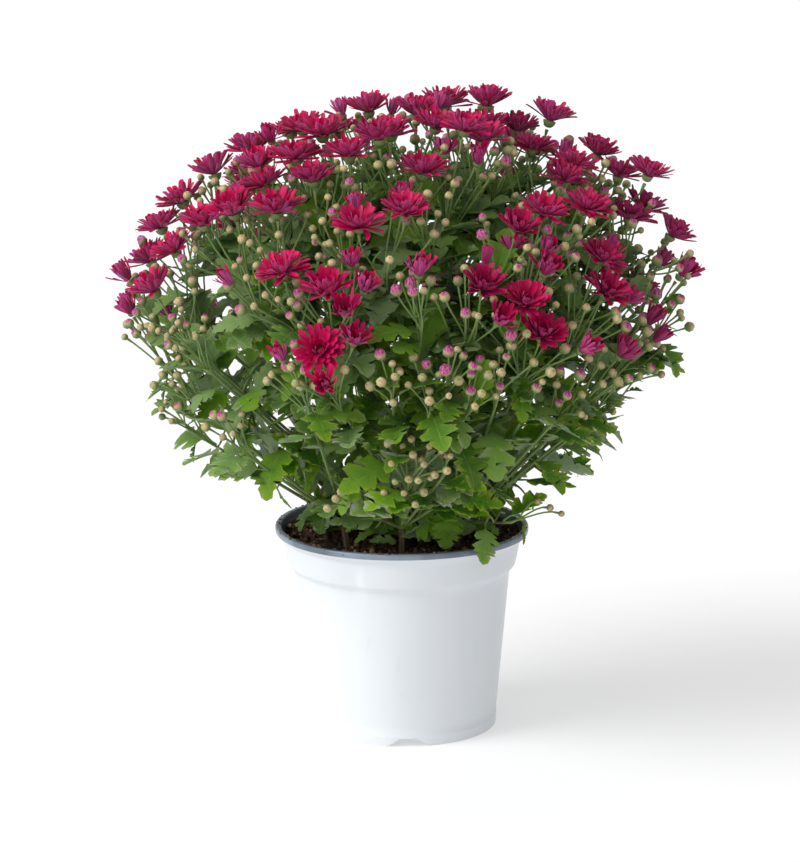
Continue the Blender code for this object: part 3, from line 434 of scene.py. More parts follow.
class Growth:
    """Grows the whole plant by the rule of the CAD source: stems, bunches, heads, branches and stalks."""

    def __init__(self, more_buds: int) -> None:
        """Grows it.

        Args:
            more_buds: Buds that each bunch has beyond those of the CAD source's rule.
        """
        self.stems = self._stems()
        self.bunches = self._bunches()
        crowd = self._settle()
        self._route(crowd)
        self._add_buds(crowd, more_buds)

    @staticmethod
    def _stems() -> list[Shoot]:
        """All main stems, ring by ring from the middle out.

        Returns:
            The stems.
        """
        made: list[Shoot] = []
        for ring, (count, rise, hole) in enumerate(SHOOT_RINGS):
            for step in range(count):
                azimuth = TURN * (step + 0.5 * (ring % 2)) / count
                made.append(Shoot(len(made), azimuth, math.radians(rise), hole))
        return made

    @staticmethod
    def _half_round(point: Array, source: random.Random) -> Array:
        """The point turned about half way round the pot's axis.

        Args:
            point: A bunch's middle.
            source: A random source.

        Returns:
            The middle of its like on the far side.
        """
        turn = math.pi + source.uniform(-0.22, 0.22)
        x, y, z = point * (0.97, 0.97, 1.0) - (0.0, 0.0, FAR_DROP)
        return np.array((x * math.cos(turn) - y * math.sin(turn), x * math.sin(turn) + y * math.cos(turn), z))

    def _bunches(self) -> list[Bunch]:
        """The seen bunches and sprays, their like on the far side, and sprays of buds that fill between.

        Returns:
            The bunches.
        """
        found = [
            Bunch(f"front{index}", seen_foot(x, z), opened, half_open, 2)
            for index, (x, z, opened, half_open) in enumerate(SEEN_BUNCHES)
        ]
        found += [
            Bunch(f"low{index}", seen_foot(x, z), 0, 0, buds)
            for index, (x, z, buds) in enumerate(SEEN_SPRAYS)
        ]
        for index, bunch in enumerate(found[:]):
            middle = self._half_round(bunch.middle, draws("far side", index))
            clear = all(np.linalg.norm(middle - other.middle) > FAR_APART for other in found)
            if clear and middle[2] < FAR_TOP:
                found.append(Bunch(f"far{index}", middle, bunch.opened, bunch.half_open, bunch.buds))
        for index in range(BUD_SPRAYS):
            source = draws("spray", index)
            rise = math.asin(0.95 - 1.55 * (index + 0.5) / BUD_SPRAYS)
            azimuth = index * GOLDEN_ANGLE + source.uniform(-0.1, 0.1)
            middle = crown_point(azimuth, rise, 0.95 + source.uniform(-0.05, 0.04))
            if all(np.linalg.norm(middle - other.middle) > SPRAY_APART for other in found):
                found.append(Bunch(f"spray{index}", middle, 0, 0, source.randint(2, 4)))
        return found

    @staticmethod
    def fork_of(bunch: Bunch, aside: float = 0.0, turn: float = 0.0, deep: float = 1.0) -> Array:
        """Where the stalks of a bunch part.

        Args:
            bunch: The bunch.
            aside: How far the fork is moved sideways.
            turn: The way that it is moved, as an angle.
            deep: Share of its usual depth below the bunch's middle.

        Returns:
            A point below the bunch's middle, towards the plant's heart.
        """
        source = draws("fork", bunch.key)
        outward = crown_normal(bunch.middle)
        inward = unit(0.55 * outward + np.array((0.0, 0.0, 0.75)))
        side, other = across(inward)
        depth = deep * (FORK_DEPTH * source.uniform(0.85, 1.15) + 0.006 * (bunch.opened > 1))
        if bunch.only_buds:
            depth *= 0.62
        return bunch.middle - inward * depth + aside * (math.cos(turn) * side + math.sin(turn) * other)

    def branch_path(self, bunch: Bunch) -> Array:
        """The branch's corners: its shoot, the bend half way, and the fork of its bunch.

        Args:
            bunch: The branch's bunch.

        Returns:
            The three corners.
        """
        shoot = self.stems[bunch.shoot]
        start = shoot.at(bunch.share)
        span = np.linalg.norm(bunch.fork - start)
        leaving = unit(shoot.direction(bunch.share) + 0.9 * unit(bunch.fork - start))
        arriving = unit(bunch.middle - bunch.fork)
        bend = 0.5 * (start + bunch.fork) + 0.13 * span * (leaving - arriving)
        return np.array((start, bend, bunch.fork))

    def corners(self, bunch: Bunch) -> Array:
        """The branch's corners once it stands, its bend pulled straight where the CAD solid has none.

        Args:
            bunch: The branch's bunch.

        Returns:
            The three corners.
        """
        path = self.branch_path(bunch)
        if bunch.only_buds or np.linalg.norm(path[1] - 0.5 * (path[0] + path[2])) < STRAIGHT:
            path[1] = 0.5 * (path[0] + path[2])
        return path

    @staticmethod
    def _levels(bunch: Bunch) -> tuple[Array, Array, Array]:
        """Two directions across a bunch and the one up from it.

        Args:
            bunch: The bunch.

        Returns:
            The three unit vectors.
        """
        side, other = across(unit(crown_normal(bunch.middle) + np.array((0.0, 0.0, 0.8))))
        level = np.cross(side, other)
        return side, other, level if level[2] > 0 else -level

    def _open_head(self, bunch: Bunch, n: int, attempt: int) -> Head:
        """A try at an open bloom, beside the others of its bunch, later ones moved further.

        Args:
            bunch: Its bunch.
            n: Its number in the bunch.
            attempt: Number of the try.

        Returns:
            The bloom.
        """
        source = draws("open", bunch.key)
        side, other, level = self._levels(bunch)
        angle = source.uniform(0.0, TURN) + TURN * n / bunch.opened
        spread = (0.0, 0.0, 0.84, 1.00)[bunch.opened] * BLOOM_RADIUS
        moved = draws("move", bunch.key, n, attempt)
        far = 0.0010 * attempt
        a, b, c = (moved.uniform(-1.0, 1.0) for _ in range(3))
        foot = bunch.middle + spread * (math.cos(angle) * side + math.sin(angle) * other)
        foot = foot + far * (a * side + b * other) + (0.002 + 0.8 * far) * c * level
        radius = BLOOM_RADIUS * moved.uniform(0.90, 1.08)
        return Head(f"{bunch.key}-open{n}", Kind.OPEN, foot, facing_of(foot, moved), radius)

    def _small_head(self, bunch: Bunch, kind: Kind, n: int, attempt: int) -> Head:
        """A try at a half-open bloom or a bud, beside the open blooms or round the bunch's middle.

        Args:
            bunch: Its bunch.
            kind: Half open or bud.
            n: Its number in the bunch.
            attempt: Number of the try.

        Returns:
            The half-open bloom or bud.
        """
        source = draws(kind.value, bunch.key, n, attempt)
        side, other, level = self._levels(bunch)
        angle = source.uniform(0.0, TURN)
        looser = 0.0015 * attempt
        if bunch.opened:
            out = (0.0, 0.019, 0.030, 0.036)[bunch.opened] + source.uniform(0.002, 0.010 + looser)
        elif bunch.half_open + bunch.buds == 1:
            out = 0.0
        else:
            out = source.uniform(0.004, 0.016 + looser)
        drops, radius, sizes = (-0.005, 0.008), HALF_OPEN_RADIUS, (0.85, 1.15)
        if kind is Kind.BUD:
            drops, radius, sizes = (-0.002, 0.014), BUD_RADIUS, (0.75, 1.12)
        drop = source.uniform(drops[0], drops[1] + looser)
        foot = bunch.middle + out * (math.cos(angle) * side + math.sin(angle) * other) - drop * level
        facing = unit(unit(foot - self.fork_of(bunch)) + 0.5 * facing_of(foot, source))
        return Head(f"{bunch.key}-{kind.value}{n}", kind, foot, facing, radius * source.uniform(*sizes))

    def _settle(self) -> Thicket:
        """Places every head: the open blooms, then half-open blooms and buds where they come clear.

        Returns:
            What stands now.
        """
        crowd, necks = Thicket(), Thicket()
        for bunch in self.bunches:
            for n in range(bunch.opened):
                tries = [self._open_head(bunch, n, attempt) for attempt in range(OPEN_TRIES)]
                gaps = [
                    min(crowd.gap(*neck_balls(head)), necks.gap(*head_balls(head)), NECK_GAP)
                    + 0.4 * min(crowd.gap(*head_balls(head)), 0.0)
                    for head in tries
                ]
                best = tries[int(np.argmax(gaps))]
                bunch.heads.append(best)
                crowd.add(*head_balls(best), best.key)
                necks.add(*neck_balls(best), best.key)
        for kind in (Kind.HALF, Kind.BUD):
            for bunch in self.bunches:
                for n in range(bunch.half_open if kind is Kind.HALF else bunch.buds):
                    self._fit_small(bunch, kind, n, crowd)
        return crowd

    def _fit_small(self, bunch: Bunch, kind: Kind, n: int, crowd: Thicket) -> float:
        """Adds the half-open bloom or bud whose try comes clearest.

        Args:
            bunch: Its bunch.
            kind: Half open or bud.
            n: Its number in the bunch.
            crowd: The heads that stand already, to which it is added.

        Returns:
            The gap that it has.
        """
        tries = [self._small_head(bunch, kind, n, attempt) for attempt in range(SMALL_TRIES)]
        gaps = [min(crowd.gap(*head_balls(head)), SMALL_GAP) for head in tries]
        best = tries[int(np.argmax(gaps))]
        bunch.heads.append(best)
        crowd.add(*head_balls(best), best.key)
        return max(gaps)

    def _add_buds(self, crowd: Thicket, more: int) -> None:
        """Adds the buds that the CAD source leaves out, where they come clear of every other head.

        Args:
            crowd: The heads that stand.
            more: Buds for each bunch.
        """
        for n in range(more):
            for bunch in self.bunches:
                if self._fit_small(bunch, Kind.BUD, bunch.buds + n, crowd) < BUD_GAP:
                    bunch.heads.pop()

    def stalk_line(self, bunch: Bunch, head: Head) -> Array:
        """A stalk from inside its branch, a little below the fork, to the neck under its bloom.

        Args:
            bunch: The bunch.
            head: Its bloom or bud.

        Returns:
            The stalk's two ends.
        """
        path = self.branch_path(bunch)
        root = bunch.fork - unit(path[2] - path[1]) * STALK_STEP * bunch.heads.index(head)
        neck = CALYX_DEPTH if head.kind is Kind.OPEN else 0.6 * head.radius
        return np.array((root, head.foot - head.facing * neck))

    @staticmethod
    def _fork_tries() -> list[tuple[float, float, float]]:
        """Places for a fork: first as it would be, then ever further aside, higher and lower.

        Returns:
            For each: how far aside, its angle, and its share of the usual depth.
        """
        tries = [(0.0, 0.0, 1.0)]
        for aside in (0.006, 0.012, 0.020, 0.028):
            for deep in (1.0, 0.7, 1.35):
                tries += [(aside, k * math.pi / 3, deep) for k in range(6)]
        return tries

    def _route_gap(self, bunch: Bunch, thicket: Thicket) -> float:
        """Smallest gap that the branch and stalks leave, with the buds' thin stalks left out.

        Args:
            bunch: The bunch.
            thicket: What stands.

        Returns:
            The gap in metres.
        """
        gap = thicket.gap(balls(self.branch_path(bunch)), BRANCH_RADIUS, bunch.shoot)
        for head in bunch.of(Kind.OPEN, Kind.HALF):
            if gap < 0:
                return gap
            line = balls(self.stalk_line(bunch, head))
            gap = min(gap, thicket.gap(line, STALK_RADIUS, bunch.shoot, head.key))
        return gap

    def _best_way(self, bunch: Bunch, near: Iterable[int], thicket: Thicket) -> None:
        """Gives a bunch the shoot, parting and fork whose branch and stalks clear what stands.

        Args:
            bunch: The bunch.
            near: Numbers of the shoots to try.
            thicket: What stands.
        """
        best: tuple[float, float, int, float, Array] | None = None
        for aside, turn, deep in self._fork_tries():
            bunch.fork = self.fork_of(bunch, aside, turn, deep)
            for rank, index in enumerate(near):
                bunch.shoot = int(index)
                wanted = self.stems[index].parting(bunch.fork)
                for shift in (0.0, -0.07, 0.07, -0.14, 0.14):
                    bunch.share = min(max(wanted + shift, 0.16), 0.97)
                    gap = self._route_gap(bunch, thicket)
                    value = min(gap, ROUTE_GAP) - 0.0001 * rank - 0.004 * aside
                    if best is None or value > best[0]:
                        best = (value, gap, bunch.shoot, bunch.share, bunch.fork)
                if best[1] >= ROUTE_GAP:
                    break
            if best[1] >= ROUTE_GAP:
                break
        _, _, bunch.shoot, bunch.share, bunch.fork = best

    def _route(self, thicket: Thicket) -> None:
        """Finds every bunch its way, one after the other, among the heads that stand.

        Args:
            thicket: The heads that stand, to which all stems are added.
        """
        for stem in self.stems:
            line = np.array([stem.at(share) for share in np.linspace(0, 1, 40)])
            thicket.add(balls(line), 0.0031, stem.index)
        ways = np.array([stem.way for stem in self.stems])
        for bunch in self.bunches:
            near = np.argsort(-(ways @ unit(bunch.middle - CROWN_MIDDLE)))[:3]
            self._best_way(bunch, near, thicket)
            thicket.add(balls(self.branch_path(bunch)), BRANCH_RADIUS, bunch.shoot)
            for head in bunch.heads:
                thicket.add(balls(self.stalk_line(bunch, head)), STALK_RADIUS, bunch.shoot)


# ---------------------------------------------------------------- meshes


class Sheaf:
    """Many closed lofts gathered into one mesh, with a UV map and numbers for each face."""

    def __init__(self) -> None:
        """Starts empty."""
        self.points: list[Array] = []
        self.corners: list[Array] = []
        self.uvs: list[Array] = []
        self.sizes: list[Array] = []
        self.numbers: dict[str, list[Array]] = {}
        self.count = 0
        self.faces = 0

    def _keep(self, faces: Array, uvs: Array, numbers: dict[str, Array | float]) -> None:
        """Keeps faces of one size. Faces that came before without one of the numbers have 0 there.

        Args:
            faces: The faces' corners, shaped (..., corners).
            uvs: UVs of the same corners, in the same order.
            numbers: Numbers for the faces, by name.
        """
        corners = faces.reshape(-1, faces.shape[-1])
        self.corners.append(corners.reshape(-1))
        self.uvs.append(uvs.reshape(-1, 2))
        self.sizes.append(np.full(len(corners), corners.shape[1]))
        for name, values in numbers.items():
            gathered = self.numbers.setdefault(name, [])
            missing = np.zeros(self.faces - sum(map(len, gathered)))
            gathered += [missing, np.broadcast_to(values, faces.shape[:-1]).reshape(-1)]
        self.faces += len(corners)

    def loft(
        self, rings: Array, around: Array | None = None, along: Array | None = None, **numbers: Array | float,
    ) -> None:
        """Adds K lofts at once, each R rings of N points, closed round and capped at both ends.

        The ring's points go anticlockwise as seen from the loft's far end, so that the quad of ring r and
        point n, (r, n), (r, n+1), (r+1, n+1), (r+1, n), faces out.

        Args:
            rings: Points, shaped (K, R, N, 3).
            around: The U coordinate of each ring point, N of them. Without it, U goes once round.
            along: The V coordinate of each ring, R of them. Without it, V goes from 0 to 1.
            numbers: Numbers for the faces, each of a shape that broadcasts to (K, R - 1, N).
        """
        lofts, rows, ring, _ = rings.shape
        index = self.count + np.arange(lofts * rows * ring).reshape(lofts, rows, ring)
        after = np.roll(index, -1, axis=2)
        quads = np.stack((index[:, :-1], after[:, :-1], after[:, 1:], index[:, 1:]), -1)
        u = np.arange(ring) / ring if around is None else around
        u_after = (np.arange(ring) + 1.0) / ring if around is None else np.roll(around, -1)
        v = np.linspace(0.0, 1.0, rows) if along is None else along
        low, high = v[:-1, None] + 0 * u, v[1:, None] + 0 * u
        left, right = u + 0 * low, u_after + 0 * low
        uv = np.stack((np.stack((left, right, right, left), -1), np.stack((low, low, high, high), -1)), -1)
        self._keep(quads, np.broadcast_to(uv, (lofts, *uv.shape)), numbers)
        for row, order in ((0, slice(None, None, -1)), (-1, slice(None))):
            cap = index[:, row, order]
            cap_uv = np.stack((u[order], 0 * u + v[row]), -1)
            ends = {name: self._of_end(values, quads.shape[:-1], row) for name, values in numbers.items()}
            self._keep(cap, np.broadcast_to(cap_uv, (lofts, ring, 2)), ends)
        self.points.append(rings.reshape(-1, 3))
        self.count += lofts * rows * ring

    @staticmethod
    def _of_end(values: Array | float, shape: tuple[int, ...], row: int) -> Array:
        """The number of each loft's end cap, taken from the first face of its end row."""
        return np.broadcast_to(values, shape)[:, row, 0]

    def skin(self, grid: Array, **numbers: Array | float) -> None:
        """Adds one sheet that closes on itself both ways, as a ring-shaped body does.

        Args:
            grid: Points, shaped (R, N, 3), where row R runs on into row 0 and point N into point 0.
            numbers: Numbers for the faces, each of a shape that broadcasts to (R, N).
        """
        rows, ring, _ = grid.shape
        index = self.count + np.arange(rows * ring).reshape(rows, ring)
        after, above = np.roll(index, -1, axis=1), np.roll(index, -1, axis=0)
        quads = np.stack((index, after, np.roll(above, -1, axis=1), above), -1)
        u, v = np.meshgrid(np.arange(ring) / ring, np.arange(rows) / rows)
        step_u, step_v = 1.0 / ring, 1.0 / rows
        uv = np.stack((
            np.stack((u, u + step_u, u + step_u, u), -1),
            np.stack((v, v, v + step_v, v + step_v), -1),
        ), -1)
        self._keep(quads, uv, numbers)
        self.points.append(grid.reshape(-1, 3))
        self.count += rows * ring

    def piece(self, name: str, materials: Sequence[Material], sharp: float = 50.0) -> Object:
        """Makes the mesh and its object, at the origin.

        Args:
            name: The piece's name.
            materials: Its finishes. The number "finish" of a face says which it takes.
            sharp: Edges over this angle in degrees are shaded sharp.

        Returns:
            The new object, linked to the scene.
        """
        mesh = bpy.data.meshes.new(name)
        sizes = np.concatenate(self.sizes)
        corners = np.concatenate(self.corners)
        mesh.vertices.add(self.count)
        mesh.vertices.foreach_set("co", np.concatenate(self.points).astype(np.float32).reshape(-1))
        mesh.loops.add(len(corners))
        mesh.polygons.add(len(sizes))
        mesh.polygons.foreach_set("loop_start", (np.cumsum(sizes) - sizes).astype(np.int32))
        mesh.polygons.foreach_set("vertices", corners.astype(np.int32))
        mesh.update(calc_edges=True)
        uv = mesh.uv_layers.new(name="Own")
        uv.data.foreach_set("uv", np.concatenate(self.uvs).astype(np.float32).reshape(-1))
        for number, values in self.numbers.items():
            filled = np.concatenate(values)
            filled = np.pad(filled, (0, self.faces - len(filled)))
            if number == "finish":
                mesh.polygons.foreach_set("material_index", filled.astype(np.int32))
            else:
                attribute = mesh.attributes.new(number, "FLOAT", "FACE")
                attribute.data.foreach_set("value", filled.astype(np.float32))
        mesh.shade_smooth()
        mesh.set_sharp_from_angle(angle=math.radians(sharp))
        for material in materials:
            mesh.materials.append(material)
        made = bpy.data.objects.new(name, mesh)
        bpy.context.scene.collection.objects.link(made)
        return made


def register(piece: Object, slot: str, *nodes: str) -> None:
    """Attaches a piece to the body, hides the CAD nodes that it stands for, and reports it.

    Args:
        piece: The finished piece.
        slot: Not used.
        nodes: CAD nodes that it stands for.
    """
    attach(piece, BODY)
    if nodes:
        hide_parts(*nodes)
    LOG.info("%s: %d faces", piece.name, len(piece.data.polygons))


def frames(paths: Array) -> tuple[Array, Array]:
    """Directions across paths that don't turn round them.

    One fixed direction for each path, square to its chord, is made square to the path's own direction at
    each point, and the second direction is square to both.

    Args:
        paths: Points, shaped (K, R, 3).

    Returns:
        Two arrays of unit vectors of the same shape.
    """
    way = units(np.gradient(paths, axis=1))
    chord = units(paths[:, -1] - paths[:, 0])
    axis = np.eye(3)[np.argmin(np.abs(chord), axis=1)]
    fixed = units(np.cross(chord, axis))[:, None, :]
    side = units(fixed - (fixed * way).sum(-1, keepdims=True) * way)
    return side, np.cross(way, side)


def tubes(paths: Array, radii: Array, sides: int) -> Array:
    """Rings of round tubes along paths: point = path + radius * (cos a * side + sin a * other).

    Args:
        paths: Points, shaped (K, R, 3).
        radii: Radii, shaped (K, R), or (K, R, sides) where the tube isn't round.
        sides: Points in each ring.

    Returns:
        Points, shaped (K, R, sides, 3).
    """
    side, other = frames(paths)
    angle = TURN * np.arange(sides) / sides
    out = np.cos(angle)[:, None] * side[:, :, None] + np.sin(angle)[:, None] * other[:, :, None]
    radii = radii if radii.ndim == 3 else radii[:, :, None]
    return paths[:, :, None] + radii[..., None] * out


def eased(corners: Array, rows: int) -> Array:
    """A smooth path through a few corners, as a Catmull-Rom spline with doubled ends.

    Args:
        corners: Two corners or more.
        rows: Points wanted.

    Returns:
        Points, shaped (rows, 3).
    """
    padded = np.concatenate((2 * corners[:1] - corners[1:2], corners, 2 * corners[-1:] - corners[-2:-1]))
    at = np.linspace(0, len(corners) - 1, rows)
    leg = np.minimum(at.astype(int), len(corners) - 2)
    t = (at - leg)[:, None]
    a, b, c, d = (padded[leg + step] for step in range(4))
    return 0.5 * (2 * b + (c - a) * t + (2 * a - 5 * b + 4 * c - d) * t**2 + (3 * b - 3 * c + d - a) * t**3)


def bezier(a: Array, b: Array, c: Array, d: Array, rows: int) -> Array:
    """Points of cubic Bezier curves, (1-t)^3 a + 3 (1-t)^2 t b + 3 (1-t) t^2 c + t^3 d.

    Args:
        a: Where each starts, shaped (K, 3).
        b: The corner that it leaves towards.
        c: The corner that it arrives from.
        d: Where it ends.
        rows: Points wanted.

    Returns:
        Points, shaped (K, rows, 3).
    """
    t = np.linspace(0.0, 1.0, rows)[None, :, None]
    a, b, c, d = (corner[:, None] for corner in (a, b, c, d))
    return (1 - t) ** 3 * a + 3 * (1 - t) ** 2 * t * b + 3 * (1 - t) * t**2 * c + t**3 * d


def swell(x: Array, y: Array, seed: int) -> Array:
    """Smooth random heights between -1 and 1 over a plane, one lump to each unit square.

    Each corner of the unit lattice has a random height, and between them it eases by 3t^2 - 2t^3.

    Args:
        x: Places along the first axis.
        y: Places along the second axis, of the same shape.
        seed: Number of the pattern.

    Returns:
        Heights of the same shape.
    """
    lattice = array_draws("swell", seed).uniform(-1.0, 1.0, (64, 64))
    i, j = np.floor(x).astype(int), np.floor(y).astype(int)
    tx, ty = x - i, y - j
    tx, ty = tx * tx * (3 - 2 * tx), ty * ty * (3 - 2 * ty)
    corner = [[lattice[(i + a) % 64, (j + b) % 64] for b in (0, 1)] for a in (0, 1)]
    low = corner[0][0] * (1 - ty) + corner[0][1] * ty
    high = corner[1][0] * (1 - ty) + corner[1][1] * ty
    return low * (1 - tx) + high * tx


# ---------------------------------------------------------------- finishes


class Recipe:
    """One material's node tree, built a node at a time round its Principled shader."""

    def __init__(self, name: str, **settings: float | Colour) -> None:
        """Starts the material.

        Args:
            name: The material's name.
            settings: Values of the shader's own sockets, with _ for each space in a socket's name.
        """
        self.material = bpy.data.materials.new(name)
        self.material.use_nodes = True
        self.nodes = self.material.node_tree.nodes
        self.links = self.material.node_tree.links
        self.shader = self.nodes["Principled BSDF"]
        for socket, value in settings.items():
            self.give(self.shader.inputs[socket.replace("_", " ")], value)

    def give(self, socket: Socket, value: object) -> None:
        """Joins an input to another node's output, or sets its own number, vector or colour.

        Args:
            socket: The input.
            value: The output or the value.
        """
        if isinstance(value, Socket):
            self.links.new(value, socket)
        else:
            socket.default_value = (*value, 1.0) if socket.type == "RGBA" else value

    def node(self, kind: str, inputs: dict[str | int, object], **settings: object) -> bpy.types.Node:
        """Adds a node.

        Args:
            kind: Its type, without the leading ShaderNode.
            inputs: Values or sockets for its inputs, by name or number.
            settings: Its own properties.

        Returns:
            The node.
        """
        made = self.nodes.new("ShaderNode" + kind)
        for name, value in settings.items():
            setattr(made, name, value)
        for name, value in inputs.items():
            self.give(made.inputs[name], value)
        return made

    def place(self) -> Socket:
        """The place on the object, in metres."""
        return self.node("TexCoord", {}).outputs["Object"]

    def own(self, u_scale: float = 1.0, v_scale: float = 1.0) -> Socket:
        """The piece's own UV, scaled."""
        uv = self.node("UVMap", {}, uv_map="Own").outputs["UV"]
        return self.node("Mapping", {"Vector": uv, "Scale": (u_scale, v_scale, 1.0)}).outputs["Vector"]

    def number(self, name: str) -> Socket:
        """A number that the mesh holds for each face."""
        return self.node("Attribute", {}, attribute_name=name).outputs["Fac"]

    def noise(self, vector: Socket, scale: float, detail: float = 3.0, rough: float = 0.55) -> Socket:
        """Smooth noise from 0 to 1."""
        made = self.node("TexNoise", {"Vector": vector, "Scale": scale, "Detail": detail, "Roughness": rough})
        return made.outputs["Fac"]

    def calc(self, operation: str, *values: object) -> Socket:
        """A Math node's result."""
        return self.node("Math", dict(enumerate(values)), operation=operation).outputs["Value"]

    def off_middle(self, value: Socket) -> Socket:
        """How far a share lies from one half, as across a leaf or petal from its rib."""
        return self.calc("ABSOLUTE", self.calc("SUBTRACT", value, 0.5))

    def span(self, value: Socket, low: float, high: float, start: float = 0.0, end: float = 1.0) -> Socket:
        """The value's range low to high turned smoothly into start to end, and held beyond it."""
        inputs = {"Value": value, "From Min": low, "From Max": high, "To Min": start, "To Max": end}
        return self.node("MapRange", inputs, interpolation_type="SMOOTHSTEP").outputs["Result"]

    def mix(self, share: object, a: object, b: object) -> Socket:
        """A colour between two, a at share 0 and b at share 1."""
        return self.node("Mix", {0: share, 6: a, 7: b}, data_type="RGBA").outputs[2]

    def bump(self, height: Socket, distance: float, strength: float = 1.0) -> None:
        """Relief of a distance in metres on the shader."""
        made = self.node("Bump", {"Height": height, "Distance": distance, "Strength": strength})
        self.give(self.shader.inputs["Normal"], made.outputs["Normal"])

    def finish(self, colour: Socket, roughness: Socket | None = None) -> Material:
        """Joins the colour and roughness to the shader.

        Args:
            colour: The base colour.
            roughness: The roughness, where it varies.

        Returns:
            The material.
        """
        self.give(self.shader.inputs["Base Color"], colour)
        if roughness is not None:
            self.give(self.shader.inputs["Roughness"], roughness)
        return self.material


@dataclass(frozen=True)
class PotPlastic:
    """Thin moulded plastic with faint flow marks, scuffs and dust."""

    name: str
    clean: Colour
    worn: Colour
    dust: Colour
    dusty: float

    def material(self) -> Material:
        """Its material: colour by soft noise, dust in streaks, and a fine relief like orange peel.

        Returns:
            The material.
        """
        made = Recipe(
            self.name, Roughness=0.38, Specular_IOR_Level=0.45, Coat_Weight=0.10, Coat_Roughness=0.25,
        )
        place = made.place()
        stretched = made.node("Mapping", {"Vector": place, "Scale": (1.0, 1.0, 0.25)}).outputs["Vector"]
        flow = made.span(made.noise(stretched, 22.0, 4.0), 0.35, 0.7)
        colour = made.mix(flow, self.clean, self.worn)
        specks = made.span(made.noise(place, 260.0, 5.0, 0.7), 0.60, 0.74, 0.0, self.dusty)
        scuffed = 0.35 * self.dusty + 0.06
        scuffs = made.span(made.noise(stretched, 90.0, 5.0, 0.65), 0.62, 0.72, 0.0, scuffed)
        colour = made.mix(scuffs, made.mix(specks, colour, self.dust), self.dust)
        made.bump(made.noise(place, 900.0, 2.0), 0.00006, 0.5)
        return made.finish(colour, made.span(made.noise(place, 40.0, 4.0), 0.3, 0.8, 0.30, 0.52))


POT_WHITE = PotPlastic(
    "Pot white", clean=(0.672, 0.702, 0.732), worn=(0.648, 0.682, 0.716), dust=(0.45, 0.40, 0.34),
    dusty=0.08,
)
POT_SLATE = PotPlastic(
    "Pot slate layer", clean=(0.215, 0.275, 0.350), worn=(0.110, 0.140, 0.180), dust=(0.42, 0.17, 0.07),
    dusty=0.75,
)


@dataclass(frozen=True)
class PottingSoil:
    """Moist peat with lighter crumbs and fibres."""

    name: str = "Potting soil"
    wet: Colour = (0.018, 0.010, 0.007)
    dry: Colour = (0.150, 0.078, 0.042)
    pale: Colour = (0.52, 0.33, 0.17)

    def material(self) -> Material:
        """Its material: dark to brown by noise, pale specks, and each crumb's own tone.

        Returns:
            The material.
        """
        made = Recipe(self.name, Roughness=0.92, Specular_IOR_Level=0.25)
        place = made.place()
        damp = made.span(made.noise(place, 60.0, 4.0), 0.35, 0.68)
        grains = made.noise(place, 700.0, 4.0, 0.7)
        tone = made.number("tone")
        colour = made.mix(made.calc("MULTIPLY", damp, grains), self.wet, self.dry)
        colour = made.mix(made.span(tone, 0.45, 0.85, 0.0, 0.75), colour, self.dry)
        colour = made.mix(made.span(tone, 0.88, 1.0, 0.0, 0.85), colour, self.pale)
        colour = made.mix(made.span(grains, 0.64, 0.74, 0.0, 0.5), colour, self.pale)
        made.bump(made.calc("ADD", grains, made.noise(place, 240.0, 3.0)), 0.0012, 0.9)
        return made.finish(colour, made.span(grains, 0.3, 0.7, 0.80, 1.0))


@dataclass(frozen=True)
class StemBark:
    """Pale green ribbed stems that turn brown and woody towards the soil."""

    name: str = "Stem"
    green: Colour = (0.245, 0.350, 0.120)
    dark_green: Colour = (0.105, 0.180, 0.042)
    woody: Colour = (0.080, 0.056, 0.034)
    bark: Colour = (0.16, 0.12, 0.07)

    def material(self) -> Material:
        """Its material: stripes along the stem, and wood by the face's age.

        Returns:
            The material.
        """
        made = Recipe(
            self.name, Roughness=0.55, Specular_IOR_Level=0.22, Sheen_Weight=0.05, Sheen_Roughness=0.4,
        )
        stripes = made.noise(made.own(9.0, 1.4), 1.0, 3.0)
        patches = made.noise(made.place(), 75.0, 3.0)
        tone = made.number("tone")
        colour = made.mix(made.span(stripes, 0.36, 0.66), self.green, self.dark_green)
        colour = made.mix(made.calc("MULTIPLY", tone, 0.55), colour, self.dark_green)
        wood = made.mix(made.span(stripes, 0.4, 0.7), self.woody, self.bark)
        uneven = made.calc("MULTIPLY", made.calc("SUBTRACT", patches, 0.5), 0.6)
        age = made.calc("ADD", made.number("age"), uneven)
        colour = made.mix(made.span(age, 0.42, 0.72), colour, wood)
        made.bump(stripes, 0.0004, 0.6)
        return made.finish(colour, made.span(age, 0.3, 0.8, 0.50, 0.85))


